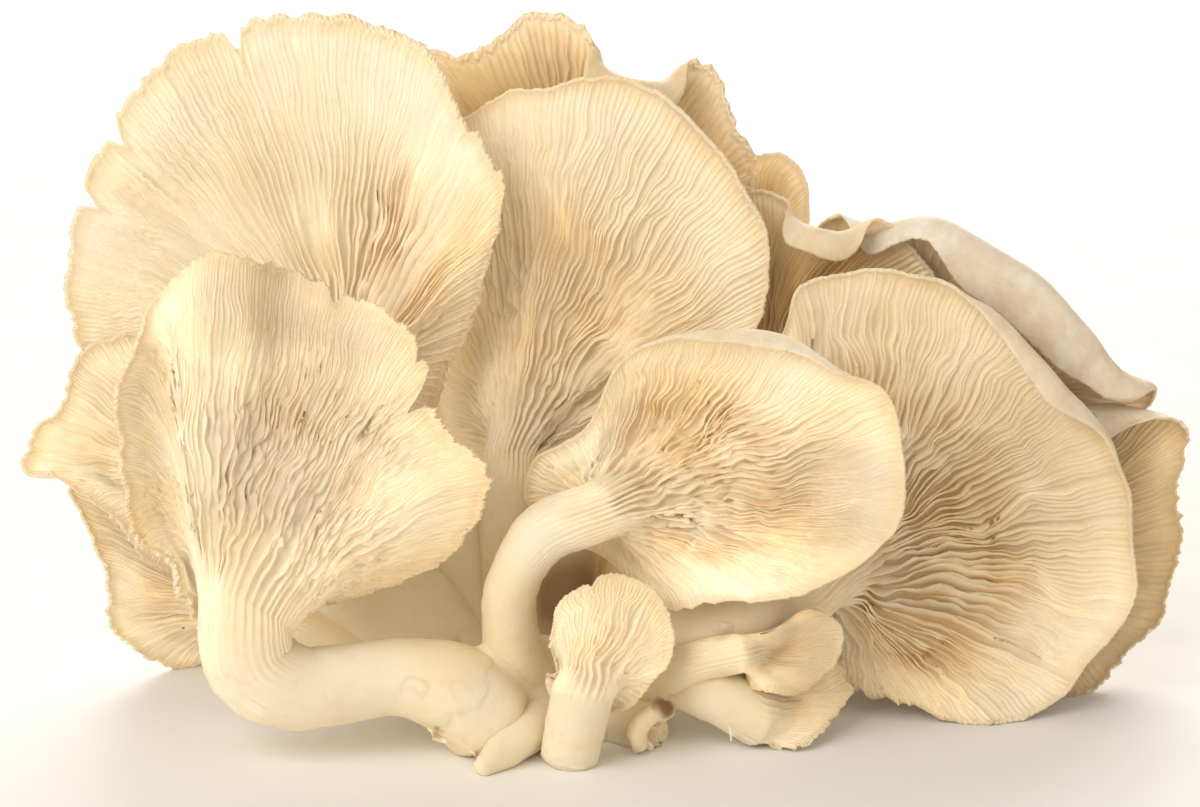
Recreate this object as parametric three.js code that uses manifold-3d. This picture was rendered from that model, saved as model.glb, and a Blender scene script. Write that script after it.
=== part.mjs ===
// A cluster of pale, gilled fruit bodies that grew from one clump of flesh.
// It rests on the cut underside of the clump, with the gilled sides of the caps forward (-Y).
// Millimetres, +Z up, origin at the bottom centre of the cluster's own box.
import * as THREE from 'three';
import { mergeVertices } from 'three/addons/utils/BufferGeometryUtils.js';
import Module from 'manifold-3d';

const wasm = await Module();
wasm.setup();

// Driving dimensions
const RIM_THICKNESS = 1.2;      // a cap's margin, gills and flesh together
const CAP_THICKNESS = 3.6;      // the same, half way in to the hub
const THICKENING = 0.45;        // share of the way in from the margin where it is reached
const FULL_REACH = 30;          // a cap's shorter sections than this are thinner
const LEAST_SHARE = 0.4;        // but not thinner than this share
const CROWN_BULGE = 1.5;        // how far the smooth side bulges behind the hub
const CROWN_FLAT = 0.45;        // and how broad and how soft that bulge is
const CLOSING_SLOPE = 0.3;
const NECK_FLARE = 0.35;        // how far a cap leaves its neck along its own axis
const SIDEWAYS_FLARE = 0.55;    // share of that where the cap spreads square to the axis
const ONWARD_FLARE = 0.45;      // and what is added where it spreads along the axis
const LEAST_FLARE = 0.12;
const MARGIN_REACH = 0.4;       // how far the margin's slope carries inwards
const ROLL_RADIUS = 3;          // inside radius of a rolled margin
const LEAST_ROLL = 20;          // degrees, where a rolled cap's margin is nearly flat
const FULL_ROLL = 90;           // degrees, from which the roll takes up its whole radius
const LEAST_FLAP = 0.4;
const ANGLE_SHARE = 0.6;        // how closely the gills fan out towards the margin's points
const NECK_START = 0.55;        // place on a stem from which it turns to its cap's axis
const FOOT_ROUNDNESS = 0.5;     // height of a stem's rounded foot, in its radii
const TIP_ROUNDNESS = 0.7;      // and of a bare stem's tip
const GAP = 0.5;                // clearance between fruit bodies that press together
const EDGE_TOLERANCE = 0.06;    // flat enough for faces to be joined across a cut
const REST_HEIGHT = 0;          // the surface that the cluster lies on
const GROUND_WIDTH = 400;       // wider than the cluster
const GROUND_DEPTH = 40;        // deeper than anything below the resting surface

const GILL_ROWS = 6;
const CLOSING_ROW = 2;          // the smooth side closes over the hub from this row inwards
const ROLL_ROWS = 3;
const STEM_ROWS = 5;
const LARGE_SECTIONS = 20;
const SMALL_SECTIONS = 11;
const LOBE_SECTIONS = 18;
const LOBE_ROWS = 11;
const MARGIN_STEPS = 400;       // for measuring along a margin
const SMALL_MARGIN = 150;       // a cap with a shorter margin than this is a small one

// Every fruit body. Where two of them press together, the first one stated keeps its shape.
// stem: [x, y, z, radius] from the foot to the neck. capAxis: the way its cap opens.
// hubDepth: the cap's hub behind the neck. rim: the cap's margin, clockwise from the front.
// rolls: where the margin turns in, as [rim point, degrees, flap length].
// bends: how the cap's sections bow, as [rim point, inner offset, outer offset].
const FRUIT_BODIES = [
  {
    name: 'mushroom_centre_front',
    colour: 'flesh',
    stem: [
      [-17.5, -23, 6, 7.5], [-20, -28, 18, 6.2], [-20, -33, 33.5, 5.3], [-13.5, -36, 45, 5.8],
      [-3, -34, 49, 6],
    ],
    capAxis: [0.65, 0.7, 0.15],
    hubDepth: 7,
    rim: [
      [-17, -21, 48], [-15, -22, 55.5], [-10, -24, 59], [-4.5, -27, 63.5], [-2, -28, 70],
      [1.5, -28, 76], [10, -27, 82], [20.5, -25, 84], [32, -26, 83.5], [43, -30, 77.5],
      [51.5, -33, 72], [54.5, -35, 62.5], [54.5, -38, 48.5], [47.5, -40, 41], [40, -41, 36.5],
      [31, -41, 33.5], [19.5, -38, 32.5], [10.5, -34, 30], [3, -26, 32.5], [-3, -21, 36.5],
      [-12, -19, 40],
    ],
    rolls: [[6, 60, 0.5], [7, 110, 1.4], [8, 140, 2.2], [9, 110, 1.2], [10, 30, 0]],
    bends: [
      [4, [0, 4, 0], [0, 3, 0]], [5, [0, 5, 0], [0, 4, 0]], [6, [0, 6, 0], [0, 5, 0]],
      [7, [0, 5, 0], [0, 4, 0]], [8, [0, 3, 0], [0, 3, 0]], [12, [0, -3, 0], [0, -2, 0]],
      [13, [0, -3, 0], [0, -2, 0]],
    ],
  },
  {
    name: 'mushroom_left_front',
    colour: 'flesh',
    stem: [
      [-24.5, -34, 5.5, 9], [-31, -35, 12.5, 9.3], [-42, -35, 15.5, 7.8], [-53.5, -37, 14.5, 8],
      [-62, -39, 14.5, 8.6], [-70, -39.5, 19, 9.5], [-72, -38, 29.5, 10.2],
    ],
    capAxis: [0.42, 0.5, 0.76],
    hubDepth: 9,
    rim: [
      [-84, -34, 32.5], [-90, -37, 39], [-94.5, -40, 49], [-95.5, -40, 61], [-95.5, -38, 73.5],
      [-91.5, -34, 81.5], [-88, -30, 90], [-84, -28, 95], [-77.5, -26, 99], [-70.5, -27, 97],
      [-63.5, -21, 93.5], [-55, -25, 92], [-44.5, -30, 88], [-38.5, -34, 81.5], [-35.5, -36, 73.5],
      [-32.5, -39, 66.5], [-24.5, -41, 59.5], [-25.5, -39, 50], [-31.5, -34, 41], [-45, -30, 31.5],
      [-53, -28, 28], [-62, -24, 26.5], [-70, -20, 20], [-79.5, -22, 19],
    ],
    bends: [
      [1, [-2, 2, 2], [2, 10, 2]], [2, [-3, -1, 5], [0, 15, 6]], [3, [-5, -2, 7], [-1, 16, 10]],
      [4, [-8, -5, 12], [-2, 15, 13]], [5, [-9, -8, 13], [-3, 10, 13]],
      [6, [-10, -12, 9], [-5, -3, 9]], [7, [-12, -15, 2], [-7, -16, 4]],
      [8, [-9, -15, 1], [-7, -17, 7]], [9, [-7, -15, 0], [0, -17, 8]],
      [10, [-5, -14, 0], [3, -18, 6]], [11, [-3, -13, 0], [3, -17, 5]],
      [12, [-2, -12, 0], [2, -15, 5]], [13, [0, -11, 0], [0, -13, 4]],
      [14, [0, -10, 0], [-2, -12, 4]], [15, [0, -10, 0], [-3, -11, 4]],
      [16, [0, -10, 0], [-4, -11, 5]], [17, [0, -10, 0], [-4, -10, 4]],
      [18, [0, -10, 0], [0, -9, 2]], [19, [0, -8, 0], [0, -7, 2]], [20, [0, -5, 0], [0, -5, 2]],
      [21, [0, -2, 0], [0, -2, 1]],
    ],
  },
  {
    name: 'button_front',
    colour: 'flesh',
    stem: [
      [-8.5, -42, 1.5, 5.7], [-7.5, -43.5, 9, 5.9], [-6, -45, 16, 6.1],
    ],
    capAxis: [0.25, 0.55, 0.8],
    hubDepth: 4,
    rim: [
      [-11.5, -43, 20], [-12, -45, 26], [-11, -44, 31], [-6.5, -43, 35], [-1.5, -41, 37],
      [5, -40, 35], [9.5, -41, 30], [10.5, -43, 23.5], [8, -45, 19], [4, -43, 14.5],
      [-0.5, -39, 11.5], [-5, -36, 11], [-9.5, -38, 13.5],
    ],
    bends: [
      [2, [0, -2, 0], [0, -2, 0]], [3, [0, -3, 0], [0, -3, 0]], [4, [0, -4, 0], [0, -3, 0]],
      [5, [0, -4, 0], [0, -3, 0]], [6, [0, -4, 0], [0, -3, 0]], [7, [0, -3, 0], [0, -2, 0]],
      [8, [0, -1, 0], [0, -1, 0]],
    ],
  },
  {
    name: 'mushroom_right_front',
    colour: 'flesh',
    stem: [
      [-0.5, -12, 2, 7.5], [9, -23, 18.5, 6.6], [22, -25, 22, 6.2], [34, -17, 23, 6.4],
      [41.5, -7, 26, 6.5],
    ],
    capAxis: [0.6, 0.75, 0.25],
    hubDepth: 10,
    rim: [
      [35, -2, 79], [37.5, 0, 85], [47, 2, 87.5], [64, 2, 87], [79, 0, 80], [90.5, -2, 68],
      [101, -3, 56], [103.5, -5, 38.5], [103.5, -8, 21.5], [96, -11, 11.5], [86, -15, 3],
      [74, -19, 0], [60, -16, 2.5], [49, -12, 4.5], [44, -6, 10.5], [38, 2, 16.5], [32, 8, 30.5],
      [29.5, 8, 49.5], [31, 3, 67.5],
    ],
    rolls: [[3, 50, 0.3], [4, 120, 1.6], [5, 140, 2.2], [6, 90, 1.0], [7, 30, 0]],
    bends: [
      [2, [0, 4, 0], [0, 4, 0]], [3, [0, 5, 0], [0, 5, 0]], [4, [0, 6, 0], [0, 6, 0]],
      [5, [0, 6, 0], [0, 6, 0]], [6, [0, 6, 0], [0, 5, 0]], [7, [0, 5, 0], [0, 5, 0]],
      [8, [0, 4, 0], [0, 3, 0]], [9, [0, 3, 0], [0, 2, 0]],
    ],
  },
  {
    name: 'small_cap_right',
    colour: 'flesh',
    stem: [
      [4.5, -23, 8, 4.6], [14, -31, 16.5, 4.4], [23.5, -34.5, 20, 4.0],
    ],
    capAxis: [0.8, 0.6, 0.0],
    hubDepth: 4,
    rim: [
      [27, -28, 20], [31.5, -29, 23.5], [36.5, -29, 26.5], [41, -28, 25.5], [44, -28, 21.5],
      [43.5, -29, 17.5], [40.5, -31, 14.5], [37.5, -34, 13], [33.5, -36, 12.5], [28.5, -35, 13.5],
      [26, -30, 15],
    ],
  },
  {
    name: 'trumpet_right',
    colour: 'flesh',
    stem: [
      [3, -20, 5.5, 5.2], [10.5, -25, 10.5, 5.0], [19.5, -30, 10.5, 5.8], [27, -32, 6.5, 6.0],
    ],
    capAxis: [0.8, 0.55, -0.2],
    hubDepth: 4,
    rim: [
      [34.5, -22, 8.5], [40, -20, 11], [44.5, -19, 12], [47, -21, 8.5], [45.5, -25, 6],
      [42.5, -29, 4], [39, -33, 2.5], [34.5, -36, 1], [30.5, -33, 0], [29.5, -24, 0],
      [31.5, -17, 1.5],
    ],
  },
  {
    name: 'mushroom_left_back',
    colour: 'flesh',
    stem: [
      [-25.5, -2, -0.5, 8], [-30, 2, 15.5, 7.4], [-32.5, 5, 30.5, 7.2], [-38.5, 7, 45.5, 7],
      [-48, 8.5, 57.5, 7], [-54.5, 9, 61, 7],
    ],
    capAxis: [-0.15, 0.75, 0.65],
    hubDepth: 9,
    rim: [
      [-108, 16, 68.5], [-110.5, 14, 81.5], [-108, 14, 97], [-101, 14, 114.5], [-90, 15, 128.5],
      [-75, 17, 135], [-57, 18, 137], [-39, 17, 131], [-31, 12, 119], [-22.5, 4, 105.5],
      [-25, 5, 91], [-29, 10, 76.5], [-35.5, 16, 62], [-42, 25, 45], [-61.5, 31, 37],
      [-83, 31, 41.5], [-101, 23, 55],
    ],
    bends: [
      [2, [0, 2, 0], [0, 3, 0]], [5, [0, 2, 0], [0, 3, 0]], [9, [0, -3, 0], [0, -5, 0]],
      [10, [0, -4, 0], [0, -6, 0]], [11, [0, -2, 0], [0, -3, 0]],
    ],
  },
  {
    name: 'mushroom_centre_back',
    colour: 'flesh',
    stem: [
      [-20, 0, -1.5, 7.5], [-23, 1, 15.5, 6.2], [-22.5, 3, 30, 5.6], [-21.5, 4, 40, 5.4],
      [-21.5, 6, 47.5, 5.4],
    ],
    capAxis: [0.25, 0.75, 0.6],
    hubDepth: 9,
    rim: [
      [-29.5, 24, 114], [-23, 20, 119.5], [-13, 16, 122], [1, 16, 124], [15.5, 15, 117],
      [25.5, 13, 104.5], [30.5, 10, 88.5], [29, 8, 77], [20.5, 8, 64.5], [5.5, 9, 54.5],
      [-11, 10, 48], [-19.5, 16, 44], [-27.5, 23, 41.5], [-35, 28, 46.5], [-38, 30, 65],
      [-36, 29, 88.5], [-33.5, 27, 103.5],
    ],
    rolls: [[3, 40, 0.5], [4, 70, 0.8], [5, 60, 0.6]],
    bends: [
      [6, [0, -4, 0], [0, -3, 0]], [8, [0, -3, 0], [0, -2, 0]],
    ],
  },
  {
    name: 'mushroom_middle_back',
    colour: 'shaded',
    stem: [
      [-11, 2, -1, 6], [5.5, 10, 17, 5.5], [20, 16, 43, 5], [30.5, 18, 65.5, 5.2],
    ],
    capAxis: [0.2, 0.75, 0.6],
    hubDepth: 7,
    rim: [
      [28, 25, 98.5], [34.5, 22, 97.5], [40, 18, 95], [45.5, 16, 94.5], [52.5, 18, 95],
      [58, 18, 90.5], [64, 18, 84], [65, 19, 75], [57.5, 21, 64], [44.5, 23, 56], [29, 25, 57.5],
      [20.5, 28, 69.5], [22, 28, 87.5],
    ],
    rolls: [[1, 40, 0.5], [2, 140, 2.6], [3, 140, 2.8], [4, 40, 0.3]],
  },
  {
    name: 'mushroom_right_back',
    colour: 'grey',
    stem: [
      [-6, 4, -2.5, 6.5], [13.5, 14, 11.5, 6.2], [36.5, 23, 26, 5.8], [57.5, 26, 46.5, 6],
    ],
    capAxis: [0.35, 0.75, 0.5],
    hubDepth: 9,
    rim: [
      [46.5, 27, 94.5], [54.5, 24, 94.5], [65.5, 18, 97.5], [78, 14, 91.5], [88.5, 13, 85],
      [98.5, 13, 74.5], [105, 14, 65.5], [110.5, 16, 61.5], [107.5, 23, 52], [103.5, 29, 37],
      [92, 34, 18.5], [71.5, 39, 8], [50.5, 42, 16], [38.5, 42, 38], [36, 38, 65], [40, 31, 85],
    ],
    rolls: [[0, 60, 1], [1, 140, 3], [2, 120, 3], [3, 165, 6], [4, 165, 6.5], [5, 160, 5.5], [6, 140, 3],
      [7, 60, 0.5]],
  },
  {
    name: 'mushroom_far_right',
    colour: 'grey',
    stem: [
      [-3, 0, -2.5, 6.5], [22, 7, 2.5, 6], [51, 12, 7.5, 5.6], [74, 13, 18, 6],
    ],
    capAxis: [0.6, 0.75, 0.2],
    hubDepth: 8,
    rim: [
      [101, 20, 56.5], [109.5, 16, 56.5], [116.5, 12, 54.5], [116, 13, 47], [115.5, 14, 38.5],
      [116.5, 14, 27.5], [114, 13, 20.5], [112, 11, 13], [105.5, 7, 7], [98.5, 2, 1.5], [91, -2, 0],
      [80.5, 4, 0], [65.5, 14, 0.5], [58.5, 23, 13], [66, 29, 35], [82, 27, 49.5],
    ],
    rolls: [[0, 120, 2], [1, 160, 7], [2, 70, 1]],
  },
  {
    name: 'mushroom_far_left',
    colour: 'flesh',
    stem: [
      [-26, -5, 2, 8], [-33, -6, 10.5, 8.6], [-41.5, -4, 19, 10.2], [-57.5, 0, 27, 8.6],
      [-79.5, 1, 41, 5.6],
    ],
    capAxis: [-0.5, 0.75, 0.35],
    hubDepth: 7,
    rim: [
      [-98, 10, 73], [-84, 13, 67.5], [-73.5, 15, 52], [-74.5, 15, 31.5], [-84, 12, 22],
      [-94.5, 6, 27], [-100, 2, 36.5], [-107, -1, 43.5], [-112.5, -3, 47.5], [-118.5, -4, 48.5],
      [-116, -1, 55], [-112, 3, 58.5], [-109.5, 5, 63.5], [-107, 8, 70],
    ],
  },
  {
    name: 'mushroom_low_left',
    colour: 'flesh',
    stem: [
      [-26.5, 2, -3, 6], [-42, 6, 3, 5.6], [-58.5, 10, 9, 5.6], [-73.5, 12, 14, 5.2],
    ],
    capAxis: [-0.5, 0.75, 0.3],
    hubDepth: 7,
    rim: [
      [-102, 23, 45.5], [-83.5, 31, 39], [-66, 33, 21], [-64, 30, 2], [-78, 23, 0], [-88.5, 18, 0],
      [-94.5, 14, 2.5], [-97.5, 10, 6.5], [-103, 7, 13], [-102.5, 6, 20.5], [-104.5, 8, 27.5],
      [-108, 11, 33.5], [-111, 14, 39],
    ],
  },
  {
    name: 'mushroom_top_back',
    colour: 'shaded',
    stem: [
      [-18.5, 8, -2, 6.5], [-10, 18, 23, 7], [-8.5, 26, 51, 6], [-6, 29, 73.5, 6],
    ],
    capAxis: [-0.05, 0.75, 0.6],
    hubDepth: 8,
    rim: [
      [-38.5, 36, 126], [-30.5, 33, 126], [-24.5, 33, 128.5], [-18, 33, 134], [-8, 31, 133.5],
      [-3, 29, 130], [0, 27, 126], [8.5, 29, 123.5], [15.5, 33, 125], [22, 33, 120], [25, 31, 112],
      [28.5, 31, 105], [26.5, 34, 89.5], [20, 41, 62], [5.5, 45, 43.5], [-15.5, 47, 41],
      [-36.5, 47, 65], [-44.5, 44, 100], [-44, 40, 118],
    ],
    rolls: [[5, 60, 0.5], [6, 140, 2.6], [7, 140, 2.2], [8, 40, 0]],
  },
  {
    name: 'small_cap_back',
    colour: 'shaded',
    stem: [
      [-11, 14, -4, 5], [5.5, 30, 32.5, 4.5], [18, 38, 63, 4.2], [27, 40, 81.5, 4.5],
    ],
    capAxis: [0.1, 0.8, 0.5],
    hubDepth: 5,
    rim: [
      [26.5, 42, 101.5], [34.5, 42, 102.5], [38.5, 41, 99.5], [39.5, 40, 93.5], [39.5, 43, 74.5],
      [31, 46, 62.5], [18.5, 48, 64.5], [15.5, 48, 82], [19.5, 46, 95.5],
    ],
  },
];

// The clump that the stems share, as ellipsoids [x, y, z, radius x, radius y, radius z].
const CLUMP_LOBES = [
  [-15.5, -12, 2, 13, 15, 14],
  [-7.5, 2, -3.5, 20, 20, 14],
  [-19.5, 6, -5, 17, 17, 14],
  [-4.5, -18, 2, 13, 12, 10],
  [-14.5, 18, -7.5, 20, 12, 11],
];

// A young fruit body with no cap yet, and the torn stub of one that was pulled off.
const SPROUT = [
  [-11.5, -24, 3.5, 5.6], [-17, -36, 5, 4.8], [-22, -44, 3, 3.5], [-25.5, -48.5, 1.5, 2.0],
];
const STUB = [
  [-3, -18, 1.5, 7], [2, -25, 2.5, 6.5], [7.5, -31, 3.5, 5],
];

const COLOURS = { flesh: '#e8d6ae', shaded: '#d3b987', grey: '#c6b493', clump: '#ddc79b' };

function point(values) {
  return new THREE.Vector3(values[0], values[1], values[2]);
}

function smooth(x, low, high) {
  return THREE.MathUtils.smoothstep(x, low, high);
}

// The two rim points on either side of place t (0 to 1) round the rim, and the share of the second.
function rimPlace(body, t) {
  const count = body.rim.length;
  const from = Math.floor(t * count);
  return { from: from % count, to: (from + 1) % count, share: smooth(t * count - from, 0, 1) };
}

// The roll's angle or flap length at that place, from what is stated at the rim's points.
function rollAt(body, { from, to, share }, column, least) {
  const stated = (rimPoint) => {
    const roll = (body.rolls ?? []).find((entry) => entry[0] === rimPoint);
    return roll ? Math.max(roll[column], least) : least;
  };
  return THREE.MathUtils.lerp(stated(from), stated(to), share);
}

function bendAt(body, { from, to, share }, column) {
  const stated = (rimPoint) => {
    const bend = (body.bends ?? []).find((entry) => entry[0] === rimPoint);
    return bend ? point(bend[column]) : new THREE.Vector3();
  };
  return stated(from).lerp(stated(to), share);
}

// Angles that run on without a jump at half a turn.
function unwrap(angles) {
  const result = [angles[0]];
  for (let i = 1; i < angles.length; i += 1) {
    const turns = Math.round((angles[i] - result[i - 1]) / (2 * Math.PI));
    result.push(angles[i] - turns * 2 * Math.PI);
  }
  return result;
}

// Where each section of the cap meets the neck and the margin, and its slope at both.
function capSections(body, count) {
  const rim = new THREE.CatmullRomCurve3(body.rim.map(point), true, 'centripetal');
  rim.arcLengthDivisions = MARGIN_STEPS;
  const neck = point(body.stem.at(-1));
  const neckRadius = body.stem.at(-1)[3];
  const axis = point(body.capAxis).normalize();
  const side = new THREE.Vector3(1, 0, 0).addScaledVector(axis, -axis.x).normalize();
  const up = new THREE.Vector3().crossVectors(axis, side);
  const hub = neck.clone().addScaledVector(axis, body.hubDepth);

  const places = Array.from({ length: count }, (_, j) => rim.getUtoTmapping(j / count));
  const edges = places.map((t) => rim.getPoint(t));
  const angles = unwrap(edges.map((edge) => {
    const reach = edge.clone().sub(neck);
    return Math.atan2(reach.dot(up), reach.dot(side));
  }));
  const even = angles.map((_, j) => 2 * Math.PI * j / count);
  const offset = angles.reduce((sum, angle, j) => sum + angle - even[j], 0) / count;

  return places.map((t, j) => {
    const place = rimPlace(body, t);
    const turn = rollAt(body, place, 1, LEAST_ROLL);
    const flap = rollAt(body, place, 2, LEAST_FLAP);
    const angle = ANGLE_SHARE * angles[j] + (1 - ANGLE_SHARE) * (even[j] + offset);
    const radial = side.clone().multiplyScalar(Math.cos(angle)).addScaledVector(up, Math.sin(angle));
    const slope = edges[j].clone().sub(hub).normalize();
    const rolledBack = (ROLL_RADIUS + RIM_THICKNESS) * smooth(turn, LEAST_ROLL, FULL_ROLL);
    const margin = edges[j].clone().addScaledVector(slope, -rolledBack);
    const root = neck.clone().addScaledVector(radial, neckRadius);
    const chord = margin.clone().sub(root);
    const length = chord.length();
    const onward = ONWARD_FLARE * chord.dot(axis) / length;
    const flare = NECK_FLARE * length * THREE.MathUtils.clamp(SIDEWAYS_FLARE + onward, LEAST_FLARE, 1);
    const profile = new THREE.CubicBezierCurve3(
      root,
      root.clone().addScaledVector(axis, flare).add(bendAt(body, place, 1)),
      margin.clone().addScaledVector(slope, -MARGIN_REACH * length).add(bendAt(body, place, 2)),
      margin,
    );
    return { radial, slope, length, profile, turn: THREE.MathUtils.degToRad(turn), flap, axis };
  });
}

// The gilled side of the cap as rings of points, from the neck to the margin.
function gillRings(sections) {
  const rings = [];
  for (let i = 0; i < GILL_ROWS; i += 1) {
    rings.push(sections.map((section) => section.profile.getPoint(i / (GILL_ROWS - 1))));
  }
  return rings;
}

// Unit normals of a grid of rings, on the gilled side.
function ringNormals(rings) {
  const count = rings[0].length;
  return rings.map((ring, i) => ring.map((_, j) => {
    const along = ring[(j + 1) % count].clone().sub(ring[(j + count - 1) % count]);
    const inner = rings[Math.max(i - 1, 0)][j];
    const outer = rings[Math.min(i + 1, rings.length - 1)][j];
    return along.cross(outer.clone().sub(inner)).normalize();
  }));
}

// The margin's inward roll, and its flap, as more rings with their normals.
function rollRings(sections, rings, normals) {
  const edge = rings.at(-1);
  const inner = rings.at(-2);
  const result = { rings: [], normals: [] };
  for (let k = 1; k <= ROLL_ROWS + 1; k += 1) {
    const ring = [];
    const ringNormal = [];
    sections.forEach((s, j) => {
      const outwards = edge[j].clone().sub(inner[j]).normalize();
      const face = normals.at(-1)[j].clone();
      face.addScaledVector(outwards, -face.dot(outwards)).normalize();
      const turned = s.turn * Math.min(k / ROLL_ROWS, 1);
      const place = edge[j].clone()
        .addScaledVector(outwards, ROLL_RADIUS * Math.sin(turned))
        .addScaledVector(face, ROLL_RADIUS * (1 - Math.cos(turned)));
      if (k > ROLL_ROWS) {
        place.addScaledVector(outwards, s.flap * Math.cos(turned));
        place.addScaledVector(face, s.flap * Math.sin(turned));
      }
      ring.push(place);
      ringNormal.push(face.multiplyScalar(Math.cos(turned)).addScaledVector(outwards, -Math.sin(turned)));
    });
    result.rings.push(ring);
    result.normals.push(ringNormal);
  }
  return result;
}

// The smooth side: the gilled side set back by the cap's thickness, closing behind the hub.
function skinRings(sections, rings, normals, extra) {
  const result = [];
  for (let i = rings.length - 1; i >= CLOSING_ROW; i -= 1) {
    const nearRim = 1 - Math.min(i / (GILL_ROWS - 1), 1);
    result.push(sections.map((section, j) => {
      const share = THREE.MathUtils.clamp(section.length / FULL_REACH, LEAST_SHARE, 1);
      const thick = smooth(nearRim, 0, THICKENING);
      const thickness = THREE.MathUtils.lerp(RIM_THICKNESS, CAP_THICKNESS * share, thick);
      return rings[i][j].clone().addScaledVector(normals[i][j], -thickness - extra);
    }));
  }
  const inner = result.at(-1);
  const outer = result.at(-2);
  const { axis } = sections[0];
  const crown = inner.reduce((sum, place) => sum.add(place), new THREE.Vector3());
  crown.divideScalar(inner.length).addScaledVector(axis, CROWN_BULGE + extra);
  result.push(inner.map((place, j) => {
    const reach = place.clone().sub(crown);
    const level = reach.clone().addScaledVector(axis, -reach.dot(axis));
    const inwards = place.clone().sub(outer[j]).normalize();
    const closing = new THREE.CubicBezierCurve3(
      crown,
      crown.clone().addScaledVector(level, CROWN_FLAT),
      place.clone().addScaledVector(inwards, CLOSING_SLOPE * reach.length()),
      place,
    );
    return closing.getPoint(0.5);
  }));
  return { rings: result, crown };
}

// Rings round a stem, carried back from the neck so that they don't twist.
function stemRings(stem, axis, radials, extra) {
  const curve = new THREE.CatmullRomCurve3(stem.map(point), false, 'centripetal');
  const spans = stem.length - 1;
  const rings = [];
  let facing = axis.clone();
  let spokes = radials.map((radial) => radial.clone());
  for (let i = STEM_ROWS - 1; i >= 0; i -= 1) {
    const t = i / STEM_ROWS;
    const tangent = curve.getTangent(t).lerp(axis, smooth(t, NECK_START, 1)).normalize();
    const turn = new THREE.Quaternion().setFromUnitVectors(facing, tangent);
    spokes = spokes.map((spoke) => spoke.clone().applyQuaternion(turn));
    facing = tangent;
    const span = Math.min(Math.floor(t * spans), spans - 1);
    const radius = THREE.MathUtils.lerp(stem[span][3], stem[span + 1][3], t * spans - span);
    const centre = curve.getPoint(t);
    rings.unshift(spokes.map((spoke) => centre.clone().addScaledVector(spoke, radius + extra)));
  }
  const foot = point(stem[0]).addScaledVector(facing, -FOOT_ROUNDNESS * stem[0][3] - extra);
  return { rings, foot };
}

// A closed skin over a row of rings, with a point at each end.
function closedSkin(first, rings, last) {
  const count = rings[0].length;
  const points = [first, ...rings.flat(), last];
  const index = [];
  for (let j = 0; j < count; j += 1) {
    const next = (j + 1) % count;
    index.push(0, 1 + next, 1 + j);
    for (let i = 0; i < rings.length - 1; i += 1) {
      const row = 1 + i * count;
      index.push(row + j, row + next, row + count + next);
      index.push(row + j, row + count + next, row + count + j);
    }
    const edge = 1 + (rings.length - 1) * count;
    index.push(edge + j, edge + next, points.length - 1);
  }
  const geometry = new THREE.BufferGeometry().setFromPoints(points);
  geometry.setIndex(index);
  return geometry;
}

// One fruit body, made larger all round by extra.
function fruitBody(body, extra) {
  const margin = new THREE.CatmullRomCurve3(body.rim.map(point), true, 'centripetal').getLength();
  const sections = capSections(body, margin < SMALL_MARGIN ? SMALL_SECTIONS : LARGE_SECTIONS);
  for (const section of sections) section.profile.v3.addScaledVector(section.slope, extra);
  const rings = gillRings(sections);
  const normals = ringNormals(rings);
  if (body.rolls) {
    const roll = rollRings(sections, rings, normals);
    rings.push(...roll.rings);
    normals.push(...roll.normals);
  }
  const skin = skinRings(sections, rings, normals, extra);
  rings.forEach((ring, i) => ring.forEach((place, j) => place.addScaledVector(normals[i][j], extra)));
  const stem = stemRings(body.stem, sections[0].axis, sections.map((s) => s.radial), extra);
  return closedSkin(stem.foot, [...stem.rings, ...rings, ...skin.rings], skin.crown);
}

// A plain tapering stem that is rounded at both ends.
function bareStem(stem, extra) {
  const tip = stem.at(-1);
  const axis = point(tip).sub(point(stem.at(-2))).normalize();
  const side = new THREE.Vector3(0, 0, 1).cross(axis).normalize();
  const up = new THREE.Vector3().crossVectors(axis, side);
  const radials = Array.from({ length: SMALL_SECTIONS }, (_, j) => {
    const angle = 2 * Math.PI * j / SMALL_SECTIONS;
    return side.clone().multiplyScalar(Math.cos(angle)).addScaledVector(up, Math.sin(angle));
  });
  const { rings, foot } = stemRings(stem, axis, radials, extra);
  rings.push(radials.map((radial) => point(tip).addScaledVector(radial, tip[3] + extra)));
  return closedSkin(foot, rings, point(tip).addScaledVector(axis, TIP_ROUNDNESS * tip[3] + extra));
}

function toSolid(geometry) {
  return new wasm.Manifold(new wasm.Mesh({
    numProp: 3,
    vertProperties: new Float32Array(geometry.getAttribute('position').array),
    triVerts: new Uint32Array(geometry.getIndex().array),
  }));
}

function toGeometry(solid) {
  const mesh = solid.getMesh();
  const geometry = new THREE.BufferGeometry();
  geometry.setAttribute('position', new THREE.BufferAttribute(new Float32Array(mesh.vertProperties), 3));
  geometry.setIndex(new THREE.BufferAttribute(new Uint32Array(mesh.triVerts), 1));
  return geometry;
}

function positionsOnly(geometry) {
  geometry.deleteAttribute('normal');
  geometry.deleteAttribute('uv');
  return mergeVertices(geometry);
}

function clumpSolid(extra) {
  const lobes = CLUMP_LOBES.map(([x, y, z, rx, ry, rz]) => {
    const lobe = new THREE.SphereGeometry(1, LOBE_SECTIONS, LOBE_ROWS);
    lobe.scale(rx + extra, ry + extra, rz + extra);
    lobe.translate(x, y, z);
    return toSolid(positionsOnly(lobe));
  });
  return lobes.reduce((whole, lobe) => whole.add(lobe));
}

function largestPiece(solid) {
  return solid.decompose().reduce((best, piece) => (piece.volume() > best.volume() ? piece : best));
}

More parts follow.
